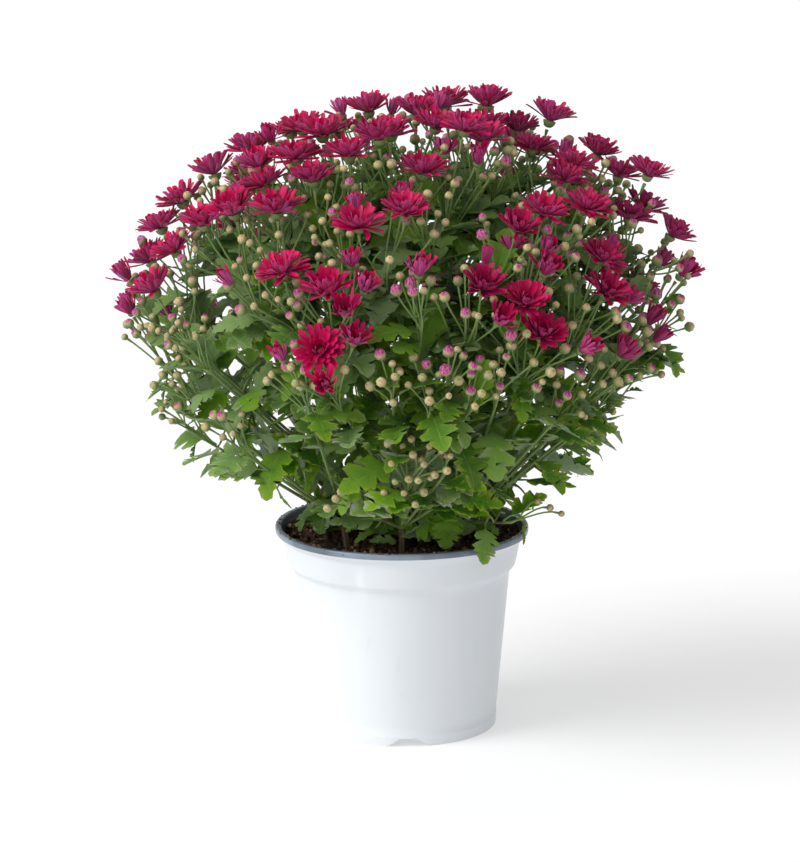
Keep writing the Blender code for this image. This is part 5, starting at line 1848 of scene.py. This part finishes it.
@dataclass(frozen=True)
class LeafBlade:
    """The shape that all leaves share: five toothed lobes on a rib, folded, bent and waved."""

    # A half leaf's outline: share of the length along, share of the length across.
    outline: Pairs = (
        (0.00, 0.012), (0.19, 0.013), (0.25, 0.120), (0.33, 0.270), (0.36, 0.235), (0.43, 0.325),
        (0.50, 0.280), (0.465, 0.115), (0.56, 0.215), (0.655, 0.330), (0.685, 0.265), (0.765, 0.280),
        (0.72, 0.105), (0.83, 0.185), (0.865, 0.140), (0.95, 0.110), (1.00, 0.010),
    )
    rib: tuple[float, ...] = (
        0.00, 0.19, 0.24, 0.29, 0.33, 0.38, 0.43, 0.48, 0.53, 0.59, 0.65, 0.71, 0.76, 0.82, 0.88, 0.94, 0.985,
    )
    # For the ring's points left, above, right and below: their U, and 1 on the leaf's back.
    around: tuple[float, ...] = (0.0, 0.5, 1.0, 0.5)
    back: tuple[float, ...] = (0.0, 0.0, 1.0, 1.0)

    def loft(self, sheaf: Sheaf, rings: Array, tone: Array, age: Array) -> None:
        """Adds blades to a sheaf.

        Args:
            sheaf: Where they go.
            rings: Their points, shaped (K, 17, 4, 3).
            tone: A number for each blade from green to grey, K of them.
            age: A number for each from deep to fresh green, K of them, that holds painted light too.
        """
        sheaf.loft(
            rings, around=np.array(self.around), along=np.array(self.rib), side=np.array(self.back),
            tone=tone[:, None, None], age=age[:, None, None], finish=0.0,
        )

    def rings(self, plan: LeafPlan, source: Draws, bends: tuple[float, float] = (0.10, 1.15)) -> Array:
        """Leaf blades as rings of four points: left edge, rib above, right edge, rib below.

        With share s along and offset t across, both times the length: the blade bends down on an arc of
        angle b, x = L sin(b s) / b and z = -L (1 - cos(b s)) / b; its halves fold up by f |t|, and its edge
        waves by w sin(11 s + p).

        Args:
            plan: The leaves.
            source: Their random source.
            bends: Smallest and largest angle b.

        Returns:
            Points, shaped (K, 17, 4, 3).
        """
        foot, heading, face = (np.array(rows)[:, None, None] for rows in (plan.foot, plan.heading, plan.face))
        length, slim = np.array(plan.length)[:, None, None], np.array(plan.slim)[:, None, None]
        count = len(plan.length)
        edge, rib = np.array(self.outline), np.array(self.rib)
        thick = np.interp(rib, (0.0, 0.2, 0.5, 1.0), (0.0011, 0.0008, 0.0005, 0.0001))
        along = np.stack((edge[:, 0], rib, edge[:, 0], rib), 1)[None] + np.zeros((count, 1, 1))
        out = np.stack((edge[:, 1], 0 * rib, -edge[:, 1], 0 * rib), 1)[None]
        up = np.stack((0 * rib, thick, 0 * rib, -0.6 * thick), 1)[None]
        uneven = source.uniform(0.84, 1.14, (count, len(rib), 4))
        uneven[..., 1], uneven[..., 3] = 1.0, 1.0
        spread = slim * source.uniform(0.80, 1.12, (count, 1, 1))
        out = out * uneven * spread
        bend = source.uniform(*bends, (count, 1, 1))
        fold = source.uniform(-0.10, 0.55, (count, 1, 1))
        wave = source.uniform(0.0, 0.030, (count, 1, 1))
        phase = source.uniform(0, TURN, (count, 1, 4))
        x = length * np.sin(bend * along) / bend
        z = -length * (1 - np.cos(bend * along)) / bend + fold * np.abs(out) * length
        z = z + up + wave * length * np.sin(11 * along + phase) * (np.abs(out) > 0.02)
        y = out * length + length * source.uniform(-0.07, 0.07, (count, 1, 1)) * along**2
        side = np.cross(face, heading)
        roll = source.normal(0.0, 0.22, (count, 1, 1, 1))
        side, face = np.cos(roll) * side + np.sin(roll) * face, np.cos(roll) * face - np.sin(roll) * side
        return foot + x[..., None] * heading + y[..., None] * side + z[..., None] * face


@dataclass
class Foliage(OfShoot):
    """The leaves of one shoot: large ones up the stem and branches, small ones under the heads."""

    blade: LeafBlade = LeafBlade()
    per_branch: int = 5
    # The underside of the foliage: distance from the axis, then how low most leaves reach there, and how low
    # those that hang.
    underside: tuple[tuple[float, float, float], ...] = (
        (0.070, 0.150, 0.150), (0.085, 0.176, 0.158), (0.105, 0.208, 0.172), (0.130, 0.226, 0.184),
        (0.170, 0.242, 0.200), (0.210, 0.266, 0.245),
    )
    # Share of the leaves that hang, the softness of the ease onto the underside in metres, the smallest
    # share of its size that a low leaf keeps, and how far a filler may dip and stay.
    hanging: float = 0.45
    ease: float = 0.0035
    smallest: float = 0.45
    most_dip: float = 0.006
    # Leaves of the CAD source's rule on a stem and on a branch. The others fill in.
    stem_rule: int = 10
    branch_rule: int = 5
    # Share of the leaves round a stem's foot that hang out over the rim, and heads of a bunch that have a
    # small leaf under them.
    over_rim: float = 0.22
    leafy_heads: int = 4

    def plan(self) -> LeafPlan:
        """Every leaf of the shoot: those of the CAD source's rule, then more that fill in.

        Returns:
            The leaves.
        """
        made = LeafPlan()
        self._up_the_stem(made)
        self._round_the_foot(made)
        for bunch in self.bunches():
            self._up_a_branch(made, bunch)
            self._under_the_heads(made, bunch)
        return made

    def stem_shares(self) -> Array:
        """Where leaves leave the main stem: those of the rule, then those between."""
        rule = np.linspace(0.24, 0.98, self.stem_rule)
        return np.concatenate((rule, 0.5 * (rule[1:] + rule[:-1])))

    def _up_the_stem(self, made: LeafPlan) -> None:
        """Large leaves up the main stem, a golden angle apart.

        Args:
            made: The plan that they go into.
        """
        source = draws("shoot leaves", self.shoot.index)
        start = source.uniform(0.0, TURN)
        for n, share in enumerate(self.stem_shares()):
            length = (0.060 - 0.014 * share) * source.uniform(0.88, 1.08)
            lean = source.uniform(0.10, 0.45)
            foot, stem, turn = self.shoot.at(share), self.shoot.direction(share), start + n * GOLDEN_ANGLE
            made.add(foot, stem, turn, length, lean, rule=n < self.stem_rule)

    def _round_the_foot(self, made: LeafPlan) -> None:
        """Low leaves that droop over the soil from the stem's foot, some of them out over the rim.

        Args:
            made: The plan that they go into.
        """
        source = draws("foot leaves", self.shoot.index)
        for _ in range(6 if self.shoot.index > 5 else 3):
            foot = self.shoot.at(source.uniform(0.15, 0.26))
            turn = math.atan2(foot[0], -foot[1]) + source.uniform(-1.25, 1.25)
            reach = math.hypot(foot[0], foot[1]) + source.uniform(0.010, 0.034)
            over = source.random() < self.over_rim
            reach = max(reach, 0.092) if over else min(reach, 0.083)
            height = 0.158 + source.uniform(0.0, 0.016) if over else 0.149 + source.uniform(0.0, 0.012)
            tip = np.array((reach * math.sin(turn), -reach * math.cos(turn), height))
            made.put(foot, tip, source.uniform(0.8, 1.1))

    def _up_a_branch(self, made: LeafPlan, bunch: Bunch) -> None:
        """Leaves up a branch: the five of the rule, then those between.

        Args:
            made: The plan that they go into.
            bunch: The branch's bunch.
        """
        source = draws("branch leaves", bunch.key)
        path = self.growth.corners(bunch)
        start = source.uniform(0.0, TURN)
        shares = [0.72, 0.93, 0.36, 0.60, 0.84]
        shares += [0.12 + 0.80 * (k + 0.5) / self.per_branch for k in range(self.per_branch)]
        for n, share in enumerate(shares):
            a, b = (path[0], path[1]) if share < 0.5 else (path[1], path[2])
            foot = a + (b - a) * ((2 * share) % 1.0)
            length = (0.062 - 0.024 * share) * source.uniform(0.86, 1.10)
            lean = source.uniform(0.25, 0.7)
            if n >= self.branch_rule:
                length *= source.uniform(0.55, 0.95) * (1.0 if share < 0.6 else 0.78)
            turn = start + n * GOLDEN_ANGLE
            made.add(foot, unit(b - a), turn, length, lean, rule=n < self.branch_rule)

    def _under_the_heads(self, made: LeafPlan, bunch: Bunch) -> None:
        """Small slim leaves on the stalks.

        Args:
            made: The plan that they go into.
            bunch: The bunch.
        """
        source = draws("stalk leaves", bunch.key)
        for head in bunch.heads[: self.leafy_heads]:
            root, neck = self.growth.stalk_line(bunch, head)
            share = source.uniform(0.10, 0.55)
            foot = root + share * (neck - root)
            turn, length = source.uniform(0.0, TURN), source.uniform(0.010, 0.022)
            lean, slim = source.uniform(0.5, 1.2), source.uniform(0.45, 0.75)
            made.add(foot, unit(neck - root), turn, length, lean, slim)

    def _kept_clear(self, rings: Array, rule: Array, source: Draws) -> tuple[Array, Array]:
        """Lifts the leaves that hang below the foliage's underside, and leaves out the lowest fillers.

        A leaf that dips by d below the underside at its own distance from the axis is shortened to
        1.15 - 18 d of its size, at least 0.45. It then bends up by what it still dips times
        (share along)^1.5, and each point eases onto the underside f: z' = f + k log(1 + exp((z - f) / k)).

        Args:
            rings: The leaves' points, shaped (K, 17, 4, 3).
            rule: Whether each leaf is one of the CAD source's rule, which always stay.
            source: A random source.

        Returns:
            The points of the leaves that stay, and which of the leaves those are.
        """
        radii, most, lowest = np.array(self.underside).T
        reach = np.hypot(rings[..., 0], rings[..., 1])
        hangs = source.uniform(0, 1, len(rings)) < self.hanging
        floor = np.where(hangs[:, None, None], np.interp(reach, radii, lowest), np.interp(reach, radii, most))
        dip = np.clip((floor - rings[..., 2]).max((1, 2)), 0.0, None)
        middle = rings.mean((1, 2))
        out = np.hypot(middle[:, 0], middle[:, 1]) > 0.072
        low = np.interp(middle[:, 2], (0.235, 0.275), (1.0, 0.10)) * out
        left = np.interp(-middle[:, 0], (0.02, 0.11), (0.0, 0.80))
        wanted = source.uniform(0, 1, len(rings)) > np.maximum(low, left)
        kept = rule | ((dip < self.most_dip) & wanted)
        foot = rings[:, :1].mean(2, keepdims=True)
        size = np.clip(1.15 - 18.0 * dip, self.smallest, 1.0)
        rings = foot + (rings - foot) * size[:, None, None, None]
        dip = np.clip((floor - rings[..., 2]).max((1, 2)), 0.0, None)
        along = np.array(self.blade.rib)[None, :, None]
        rings[..., 2] += dip[:, None, None] * along**1.5
        over = np.clip((rings[..., 2] - floor) / self.ease, -30.0, 30.0)
        eased_up = floor + self.ease * np.log1p(np.exp(over))
        rings[..., 2] = np.where(over < 20.0, eased_up, rings[..., 2])
        return rings[kept], kept

    def build(self, finish: Material) -> None:
        """Makes the leaves.

        Args:
            finish: The leaves' material.
        """
        source = array_draws("foliage", self.shoot.index)
        plan = self.plan()
        rings, kept = self._kept_clear(self.blade.rings(plan, source), np.array(plan.rule), source)
        count = len(rings)
        x, _, z = np.array(plan.foot)[kept].T
        # Painted light: leaves on the left, low ones most, turn lighter green; partly so by height too.
        level = np.interp(z, (0.20, 0.28, 0.31, 0.36), (0.25, 0.22, 0.05, 0.30))
        level = level + np.clip(-x / 0.12, 0.0, 1.0) * np.interp(z, (0.28, 0.36), (0.45, 0.15))
        age_and_painted_light = np.clip(source.uniform(-0.35, 0.75, count) + level, 0.0, 1.0)
        # Painted sheen: leaves further left turn greyer, as lit faces there look.
        tone = np.clip(source.uniform(0.0, 1.0, count) + np.clip(-x / 0.22, 0.0, 0.6), 0.0, 1.0)
        sheaf = Sheaf()
        self.blade.loft(sheaf, rings, tone, age_and_painted_light)
        register(sheaf.piece(self.named("leaves"), (finish,), sharp=65.0), "foliage")


@dataclass(frozen=True)
class SeenLeaf:
    """A leaf placed as seen: its foot and tip, its width as a share of the usual one, its age.

    A place is a pixel across and down the picture, then how far it lies in front of the pot's axis, in
    millimetres.
    """

    foot: Place
    tip: Place
    slim: float
    age: float


@dataclass
class SeenLeaves:
    """The leaves that hang over the rim and under the crown, each on a stalk from the nearest stem."""

    growth: Growth
    view: View
    blade: LeafBlade = LeafBlade()
    leaves: tuple[SeenLeaf, ...] = (
        SeenLeaf((332, 492, 30), (316, 533, 45), 1.30, 0.10),
        SeenLeaf((309, 506, 20), (300.7, 530.6, 34), 1.25, 0.25),
        SeenLeaf((276, 486, 0), (288, 511, 12), 0.35, 0.95),
        SeenLeaf((352, 504, 58), (347.5, 526.8, 66), 1.05, 0.80),
        SeenLeaf((378, 526, 64), (354.6, 542, 74), 0.62, 0.40),
        SeenLeaf((394, 507, 50), (380, 533, 64), 1.30, 0.20),
        SeenLeaf((428.7, 504, 64), (418.2, 527, 70), 1.05, 0.35),
        SeenLeaf((409.6, 511, 66), (401, 524, 74), 0.40, 0.85),
        SeenLeaf((412.4, 511.6, 66), (410.5, 529, 72), 0.35, 0.85),
        SeenLeaf((445, 515, 64), (445, 549, 76), 1.45, 0.70),
        SeenLeaf((485.2, 521, 66), (485.6, 564.2, 84), 1.15, 0.85),
        SeenLeaf((505, 513.5, 40), (483.3, 505.8, 46), 0.90, 1.00),
        SeenLeaf((486, 522, 52), (499.5, 534, 58), 1.00, 0.50),
        SeenLeaf((523.4, 518.3, 30), (525, 545, 36), 0.45, 0.60),
        SeenLeaf((532.5, 509.7, 30), (534, 495.3, 30), 0.50, 0.60),
        SeenLeaf((461, 500, 60), (478, 516, 70), 0.35, 0.85),
        SeenLeaf((245.9, 386, 30), (233.8, 443.5, 42), 1.30, 0.15),
        SeenLeaf((251.6, 411.6, 24), (267.6, 474, 34), 1.25, 0.05),
        SeenLeaf((249.7, 420, 36), (245.9, 463.9, 46), 1.05, 0.80),
        SeenLeaf((234.4, 457.6, 10), (244, 476.7, 14), 0.50, 0.80),
        SeenLeaf((252, 463.4, 6), (266.9, 502.8, 12), 0.42, 0.30),
        SeenLeaf((293, 467.8, 30), (298.2, 484, 36), 1.10, 1.00),
        SeenLeaf((323.7, 449.9, 60), (303.3, 493.3, 70), 0.50, 0.90),
        SeenLeaf((195.5, 442, 4), (192.3, 462.7, 8), 1.40, 1.00),
        SeenLeaf((221.6, 441, 10), (213.3, 455.6, 14), 0.60, 0.50),
        SeenLeaf((231.8, 446.6, 12), (222.9, 461.4, 16), 0.90, 0.70),
        SeenLeaf((212.2, 411.6, 12), (185.9, 423.1, 18), 0.85, 0.80),
        SeenLeaf((169.3, 384.8, 10), (146.4, 396.3, 12), 1.00, 0.75),
        SeenLeaf((166.5, 381, 12), (161.7, 402.7, 16), 0.90, 0.75),
        SeenLeaf((184, 390, 14), (165.5, 407.8, 20), 0.70, 0.50),
        SeenLeaf((186, 345.3, 30), (183.4, 374, 40), 1.15, 0.10),
        SeenLeaf((208.3, 362.4, 30), (216.5, 394, 40), 1.20, 0.20),
        SeenLeaf((300.7, 401.4, 90), (271.4, 424.4, 94), 0.50, 0.90),
        SeenLeaf((298, 377, 85), (277.8, 396, 92), 1.00, 0.20),
        SeenLeaf((261.2, 361.9, 60), (238.2, 383.6, 70), 0.50, 0.30),
        SeenLeaf((320, 452, 60), (338, 478, 66), 1.00, 0.10),
        SeenLeaf((331, 428, 80), (322, 462, 86), 0.60, 0.85),
        SeenLeaf((515.7, 464.4, 20), (509, 503, 24), 0.55, 0.20),
        SeenLeaf((523.7, 461, 16), (517, 490.5, 20), 0.50, 0.20),
        SeenLeaf((533, 455.7, 16), (526.4, 477, 20), 0.45, 0.40),
        SeenLeaf((550.5, 450.4, 12), (558.6, 482, 18), 0.90, 0.55),
        SeenLeaf((588, 443, 10), (584.4, 462.4, 14), 1.20, 0.60),
        SeenLeaf((574.6, 459, 6), (580, 477, 8), 0.32, 0.50),
        SeenLeaf((596, 449, 6), (604.4, 461, 8), 0.35, 0.50),
        SeenLeaf((489, 461.7, 48), (492, 502, 58), 1.45, 0.25),
        SeenLeaf((455.4, 414, 100), (487.6, 443, 106), 1.10, 0.75),
        SeenLeaf((515.7, 408.8, 80), (546.5, 430.3, 86), 1.00, 0.70),
        SeenLeaf((446, 434.3, 86), (440.7, 471.8, 94), 1.30, 0.45),
        SeenLeaf((372, 452, 76), (366, 490, 84), 1.15, 0.05),
        SeenLeaf((403, 462, 80), (412, 492, 86), 1.05, 0.15),
    )

    def _starts(self) -> Array:
        """Points along every stem and branch, where a stalk may leave.

        Returns:
            The points.
        """
        growth, shares = self.growth, np.linspace(0.16, 0.95, 50)
        ways = [np.array([stem.at(share) for share in shares]) for stem in growth.stems]
        for bunch in growth.bunches:
            ways.append(eased(growth.corners(bunch), 16))
        return np.concatenate(ways)

    def build(self, blade: Material, stalk: Material) -> None:
        """Makes the leaves and their stalks.

        Args:
            blade: The leaves' material.
            stalk: The stalks' material.
        """
        plan, paths, starts = LeafPlan(), [], self._starts()
        for leaf in self.leaves:
            foot, tip = self.view.seen(*leaf.foot), self.view.seen(*leaf.tip)
            plan.put(foot, tip, leaf.slim)
            start = starts[np.argmin(np.linalg.norm(starts - foot, axis=1))]
            middle = 0.5 * (start + foot) + 0.004 * UP
            paths.append(eased(np.array((start, middle, foot + 0.002 * unit(tip - foot))), 8))
        source = array_draws("seen leaves")
        rings = self.blade.rings(plan, source, (0.05, 0.35))
        age = np.array([leaf.age for leaf in self.leaves])
        sheaf = Sheaf()
        self.blade.loft(sheaf, rings, source.uniform(0.0, 0.8, len(age)), age)
        girth = np.linspace(0.0008, 0.0006, 8) * np.ones((len(paths), 1))
        sheaf.loft(tubes(np.array(paths), girth, 6), side=0.0, tone=0.3, age=0.0, finish=1.0)
        register(sheaf.piece("leaves_seen", (blade, stalk), sharp=65.0), "foliage")


@dataclass
class Buds(OfShoot):
    """The closed buds of one shoot, and the scaly green cups under its blooms."""

    # A bud's side: share of its radius up from its middle, share of its radius out.
    outline: Pairs = (
        (-1.00, 0.30), (-0.82, 0.66), (-0.45, 0.96), (0.00, 1.02),
        (0.42, 0.90), (0.74, 0.62), (0.90, 0.34), (0.84, 0.10),
    )
    # A cup's side, in millimetres up from the bloom's foot and out.
    cup: Pairs = (
        (-4.4, 1.0), (-4.1, 2.3), (-3.0, 3.6), (-1.0, 4.3), (0.6, 4.6), (0.7, 3.9), (0.2, 1.0),
    )
    # A half-open bloom's radius that has a cup of that size, and the points round a bud and a cup.
    half_cup: float = 0.0125
    bud_sides: int = 10
    cup_sides: int = 12

    @staticmethod
    def turned(foot: Array, facing: Array, up: Array, out: Array) -> Array:
        """Solids of revolution: point = foot + up * facing + out * (cos a * side + sin a * other).

        Args:
            foot: Where each stands, shaped (K, 3).
            facing: Its axis, shaped (K, 3).
            up: Heights along the axis, shaped (K, R).
            out: Distances from it, shaped (K, R, N).

        Returns:
            Points, shaped (K, R, N, 3).
        """
        square = np.array([across(way) for way in facing])
        side, other = square[:, 0, None, None], square[:, 1, None, None]
        angle = TURN * np.arange(out.shape[2]) / out.shape[2]
        way = np.cos(angle)[:, None] * side + np.sin(angle)[:, None] * other
        return foot[:, None, None] + up[:, :, None, None] * facing[:, None, None] + out[..., None] * way

    def build(self, finish: Material) -> None:
        """Makes the buds and cups.

        Args:
            finish: Their material.
        """
        sheaf, source = Sheaf(), array_draws("buds", self.shoot.index)
        self._add_buds(sheaf, source)
        self._add_cups(sheaf, source)
        register(sheaf.piece(self.named("buds"), (finish,), sharp=70.0), "foliage")

    def _add_buds(self, sheaf: Sheaf, source: Draws) -> None:
        """Adds the closed buds, each ribbed by its scales, ripe ones longer and lower ones smaller.

        Args:
            sheaf: Where they go.
            source: Their random source.
        """
        buds = self.heads(Kind.BUD)
        foot, facing = np.array([h.foot for h in buds]), np.array([h.facing for h in buds])
        low = np.clip((0.300 - foot[:, 2]) / 0.060, 0.0, 1.0)
        ripe = np.clip(source.uniform(-0.70, 1.05, len(buds)) - 0.55 * low, 0.0, 1.0)
        stretch = 1.0 + 0.35 * ripe[:, None]
        radius = (np.array([h.radius for h in buds]) * (0.76 + 0.22 * ripe - 0.08 * low))[:, None]
        up, out = np.array(self.outline).T
        turn = TURN * np.arange(self.bud_sides) / self.bud_sides
        scales = 1.0 + 0.06 * np.cos(5 * turn[None] + math.pi * (np.arange(len(up)) % 2)[:, None])
        loose = source.uniform(0.94, 1.06, (len(buds), 1, self.bud_sides))
        out = radius[..., None] * out[None, :, None] * scales * loose
        rings = self.turned(foot, facing, radius * up[None] * np.where(up > 0, stretch, 1.0), out)
        tone = source.uniform(0.0, 1.0, (len(buds), 1, 1))
        sheaf.loft(rings, ripe=ripe[:, None, None], tone=tone)

    def _add_cups(self, sheaf: Sheaf, source: Draws) -> None:
        """Adds the cups under the open and half-open blooms, their upper edges jagged.

        Args:
            sheaf: Where they go.
            source: Their random source.
        """
        blooms = self.heads(Kind.OPEN, Kind.HALF)
        foot, facing = np.array([h.foot for h in blooms]), np.array([h.facing for h in blooms])
        size = [h.radius / (BLOOM_RADIUS if h.kind is Kind.OPEN else self.half_cup) for h in blooms]
        size = np.array(size)[:, None]
        up, out = 0.001 * np.array(self.cup).T
        turn = TURN * np.arange(self.cup_sides) / self.cup_sides
        jagged = 1.0 + 0.10 * np.cos(6 * turn) * (up > -0.002)[:, None]
        out = size[..., None] * out[None, :, None] * jagged[None]
        rings = self.turned(foot, facing, size * up[None], out)
        tone = source.uniform(0, 1, (len(blooms), 1, 1))
        sheaf.loft(rings, along=np.linspace(0.0, 0.30, len(up)), ripe=0.0, tone=tone)


@dataclass(frozen=True)
class Whorl:
    """One ring of petals: sizes as shares of the bloom's radius, angles in degrees."""

    petals: int
    length: float
    width: float
    rise: float
    curl: float
    root: float


@dataclass
class Blooms:
    """Open and half-open blooms: whorls of strap-like petals, channelled above, blunt at the tip."""

    open_whorls: tuple[Whorl, ...] = (
        Whorl(16, 1.02, 0.235, 8, 16, 0.10),
        Whorl(16, 0.97, 0.225, 22, 14, 0.12),
        Whorl(13, 0.84, 0.200, 37, 18, 0.14),
        Whorl(10, 0.62, 0.180, 54, 22, 0.17),
        Whorl(6, 0.40, 0.150, 70, 30, 0.19),
    )
    half_whorls: tuple[Whorl, ...] = (
        Whorl(12, 1.80, 0.36, 52, 34, 0.20),
        Whorl(11, 1.70, 0.34, 64, 30, 0.24),
        Whorl(7, 1.30, 0.30, 78, 20, 0.26),
    )
    # Along the petal, as shares of its length: where its rows lie, and its width there.
    along: tuple[float, ...] = (0.0, 0.25, 0.50, 0.75, 0.93, 1.0)
    width: tuple[float, ...] = (0.34, 0.60, 0.88, 1.0, 0.88, 0.50)
    thick: float = 0.00022
    # For the points round a petal: place across it, height in its thickness, U, and 1 on its back.
    points: tuple[tuple[float, float, float, float], ...] = (
        (1.0, 0.0, 0.0, 0.0), (0.4, 1.0, 0.3, 0.0), (-0.4, 1.0, 0.7, 0.0),
        (-1.0, 0.0, 1.0, 1.0), (-0.4, -1.0, 0.7, 1.0), (0.4, -1.0, 0.3, 1.0),
    )

    def rings(self, head: Head, whorl: Whorl, lift: float, source: Draws) -> Array:
        """One whorl's petals as rings of six points, shaped (P, rows, 6, 3).

        The midline starts beside the axis and climbs at the angle rise + curl * s, so its reach and height
        are running sums of cos and sin of that angle. Across it, with t from -1 to 1, the petal is channelled
        by c t^2 times its width and is thick by h (1 - t^2).

        Args:
            head: The bloom.
            whorl: The whorl.
            lift: Degrees that all its petals stand steeper, as a bloom that is still a bowl.
            source: Its random source.

        Returns:
            The points.
        """
        count, r, s = whorl.petals, head.radius, np.array(self.along)
        turn = TURN * (np.arange(count) + source.uniform()) / count + source.normal(0, 0.10, count)
        length = r * whorl.length * source.uniform(0.86, 1.05, count)[:, None]
        loose = 7.0 if head.kind is Kind.OPEN else 12.0
        rise = np.radians(whorl.rise + lift + source.normal(0, loose, count))[:, None]
        curl = np.radians(whorl.curl + source.normal(0, 12.0, count))[:, None]
        slope = rise + curl * s[None]
        mid = 0.5 * (slope[:, 1:] + slope[:, :-1])
        step = length * np.diff(s)
        nought = np.zeros((count, 1))
        out = whorl.root * r + np.concatenate((nought, np.cumsum(np.cos(mid) * step, 1)), 1)
        up = 0.5 * whorl.root * r + np.concatenate((nought, np.cumsum(np.sin(mid) * step, 1)), 1)
        width = 0.5 * r * whorl.width * np.array(self.width)[None] * source.uniform(0.86, 1.12, (count, 1))
        turn = turn[:, None] + source.normal(0, 0.10, (count, 1)) * s[None] ** 2
        roll = source.normal(0, 0.26, (count, 1)) * s[None]
        side, other = across(head.facing)
        radial = np.cos(turn)[..., None] * side + np.sin(turn)[..., None] * other
        around = np.cross(head.facing, radial)
        above = -np.sin(slope)[..., None] * radial + np.cos(slope)[..., None] * head.facing
        around, above = (
            np.cos(roll)[..., None] * around + np.sin(roll)[..., None] * above,
            np.cos(roll)[..., None] * above - np.sin(roll)[..., None] * around,
        )
        middle = head.foot + out[..., None] * radial + up[..., None] * head.facing
        t, shell, _, _ = np.array(self.points).T
        channel = source.uniform(0.15, 0.75, (count, 1, 1))
        thick = self.thick * np.interp(s, (0, 0.8, 1), (1.4, 1.0, 0.5))[:, None]
        high = channel * width[..., None] * t**2 + shell * thick
        flat = (width[..., None] * t)[..., None] * around[:, :, None]
        return middle[:, :, None] + flat + high[..., None] * above[:, :, None]

    def add(self, sheaf: Sheaf, head: Head) -> None:
        """Adds one bloom's petals, whorl by whorl, darker on the plant's shaded right.

        Args:
            sheaf: Where they go.
            head: The bloom.
        """
        source = array_draws("petals", head.key)
        # Painted shade: a random share, plus more the further right the head stands.
        dark = float(np.clip(source.normal(0.30, 0.28) + 2.6 * head.foot[0], 0.0, 1.0))
        is_open = head.kind is Kind.OPEN
        lift = source.uniform(-6.0, 18.0) if is_open else source.uniform(-16.0, 12.0)
        _, _, around, back = np.array(self.points).T
        for whorl in self.open_whorls if is_open else self.half_whorls:
            tone = source.uniform(0.0, 1.0, (whorl.petals, 1, 1))
            rings = self.rings(head, whorl, lift, source)
            sheaf.loft(rings, around=around, along=np.array(self.along), side=back, tone=tone, head=dark)

    def build(self, name: str, heads: list[Head], finish: Material, *nodes: str) -> None:
        """Makes the petals of some blooms as one piece.

        Args:
            name: The piece's name.
            heads: The blooms.
            finish: The petals' material.
            nodes: CAD nodes that the piece stands for.
        """
        sheaf = Sheaf()
        for head in heads:
            self.add(sheaf, head)
        register(sheaf.piece(name, (finish,), sharp=60.0), "petals", *nodes)


@dataclass
class Studio:
    """The pale floor, soft light from the left, and the camera at the photograph's angle."""

    view: View
    floor_size: float = 16.0
    sky: float = 0.62
    # Each lamp: its name, where it shines from, its strength, and how wide it looks, in degrees.
    lamps: tuple[tuple[str, Place, float, float], ...] = (
        ("Key", (-2.45, -1.0, 2.0), 2.45, 36.0), ("Low fill", (-1.6, -2.4, 0.45), 0.62, 50.0),
    )

    def build(self) -> None:
        """Makes the camera, the floor and the lights."""
        scene = bpy.context.scene
        scene.view_settings.view_transform = "Standard"
        camera = bpy.data.objects.new("Camera", bpy.data.cameras.new("Camera"))
        scene.collection.objects.link(camera)
        lens = camera.data
        lens.lens, lens.sensor_width, lens.sensor_fit = self.view.focal, self.view.sensor, "HORIZONTAL"
        camera.location = self.view.eye
        way = Vector(self.view.target) - Vector(self.view.eye)
        camera.rotation_euler = way.to_track_quat("-Z", "Y").to_euler()
        lens.clip_end = 60.0
        scene.camera = camera
        self._floor()
        world = bpy.data.worlds.new("Studio")
        world.use_nodes = True
        sky = world.node_tree.nodes["Background"].inputs
        sky["Color"].default_value, sky["Strength"].default_value = (1.0, 1.0, 1.0, 1.0), self.sky
        scene.world = world
        for lamp in self.lamps:
            self._shine(*lamp)

    def _floor(self) -> None:
        """A wide even floor at the pot's foot."""
        half = 0.5 * self.floor_size
        corners = [(-half, -half, 0.0), (half, -half, 0.0), (half, half, 0.0), (-half, half, 0.0)]
        mesh = bpy.data.meshes.new("Floor")
        mesh.from_pydata(corners, [], [(0, 1, 2, 3)])
        mesh.materials.append(StudioWhite().material())
        floor = bpy.data.objects.new("Floor", mesh)
        bpy.context.scene.collection.objects.link(floor)

    @staticmethod
    def _shine(name: str, place: Place, strength: float, wide: float) -> None:
        """Adds one broad soft lamp, as even over the floor as a far window.

        Args:
            name: The lamp's name.
            place: Where it shines from, towards the pot's foot.
            strength: Its strength.
            wide: How wide it looks, in degrees.
        """
        data = bpy.data.lights.new(name, "SUN")
        data.angle, data.energy = math.radians(wide), strength
        lamp = bpy.data.objects.new(name, data)
        bpy.context.scene.collection.objects.link(lamp)
        lamp.location = place
        lamp.rotation_euler = Vector(place).to_track_quat("Z", "Y").to_euler()


def main() -> None:
    """Builds the studio, then the pot, the soil and the plant, piece by piece."""
    logging.basicConfig(level=logging.INFO, format="%(message)s", stream=sys.stdout)
    view = View()
    Studio(view).build()
    NurseryPot().build()
    SoilBed().build()
    growth = Growth(more_buds=5)
    stem, leaf, bud, petal = (skin().material() for skin in (StemBark, LeafSkin, BudSkin, PetalSkin))
    blooms = Blooms()
    opened = [head for bunch in growth.bunches for head in bunch.of(Kind.OPEN)]
    for number, head in enumerate(opened[:BLOOM_NODES]):
        blooms.build(f"petals_{number:02d}", [head], petal, f"bloom_{number:02d}")
    own_node = {head.key for head in opened[:BLOOM_NODES]}
    SeenLeaves(growth, view).build(leaf, stem)
    for shoot in growth.stems:
        Green(growth, shoot).build(stem)
        Foliage(growth, shoot).build(leaf)
        buds = Buds(growth, shoot)
        buds.build(bud)
        mine = [head for head in buds.heads(Kind.OPEN, Kind.HALF) if head.key not in own_node]
        if mine:
            blooms.build(buds.named("shoot_petals"), mine, petal)


if __name__ == "__main__":
    main()
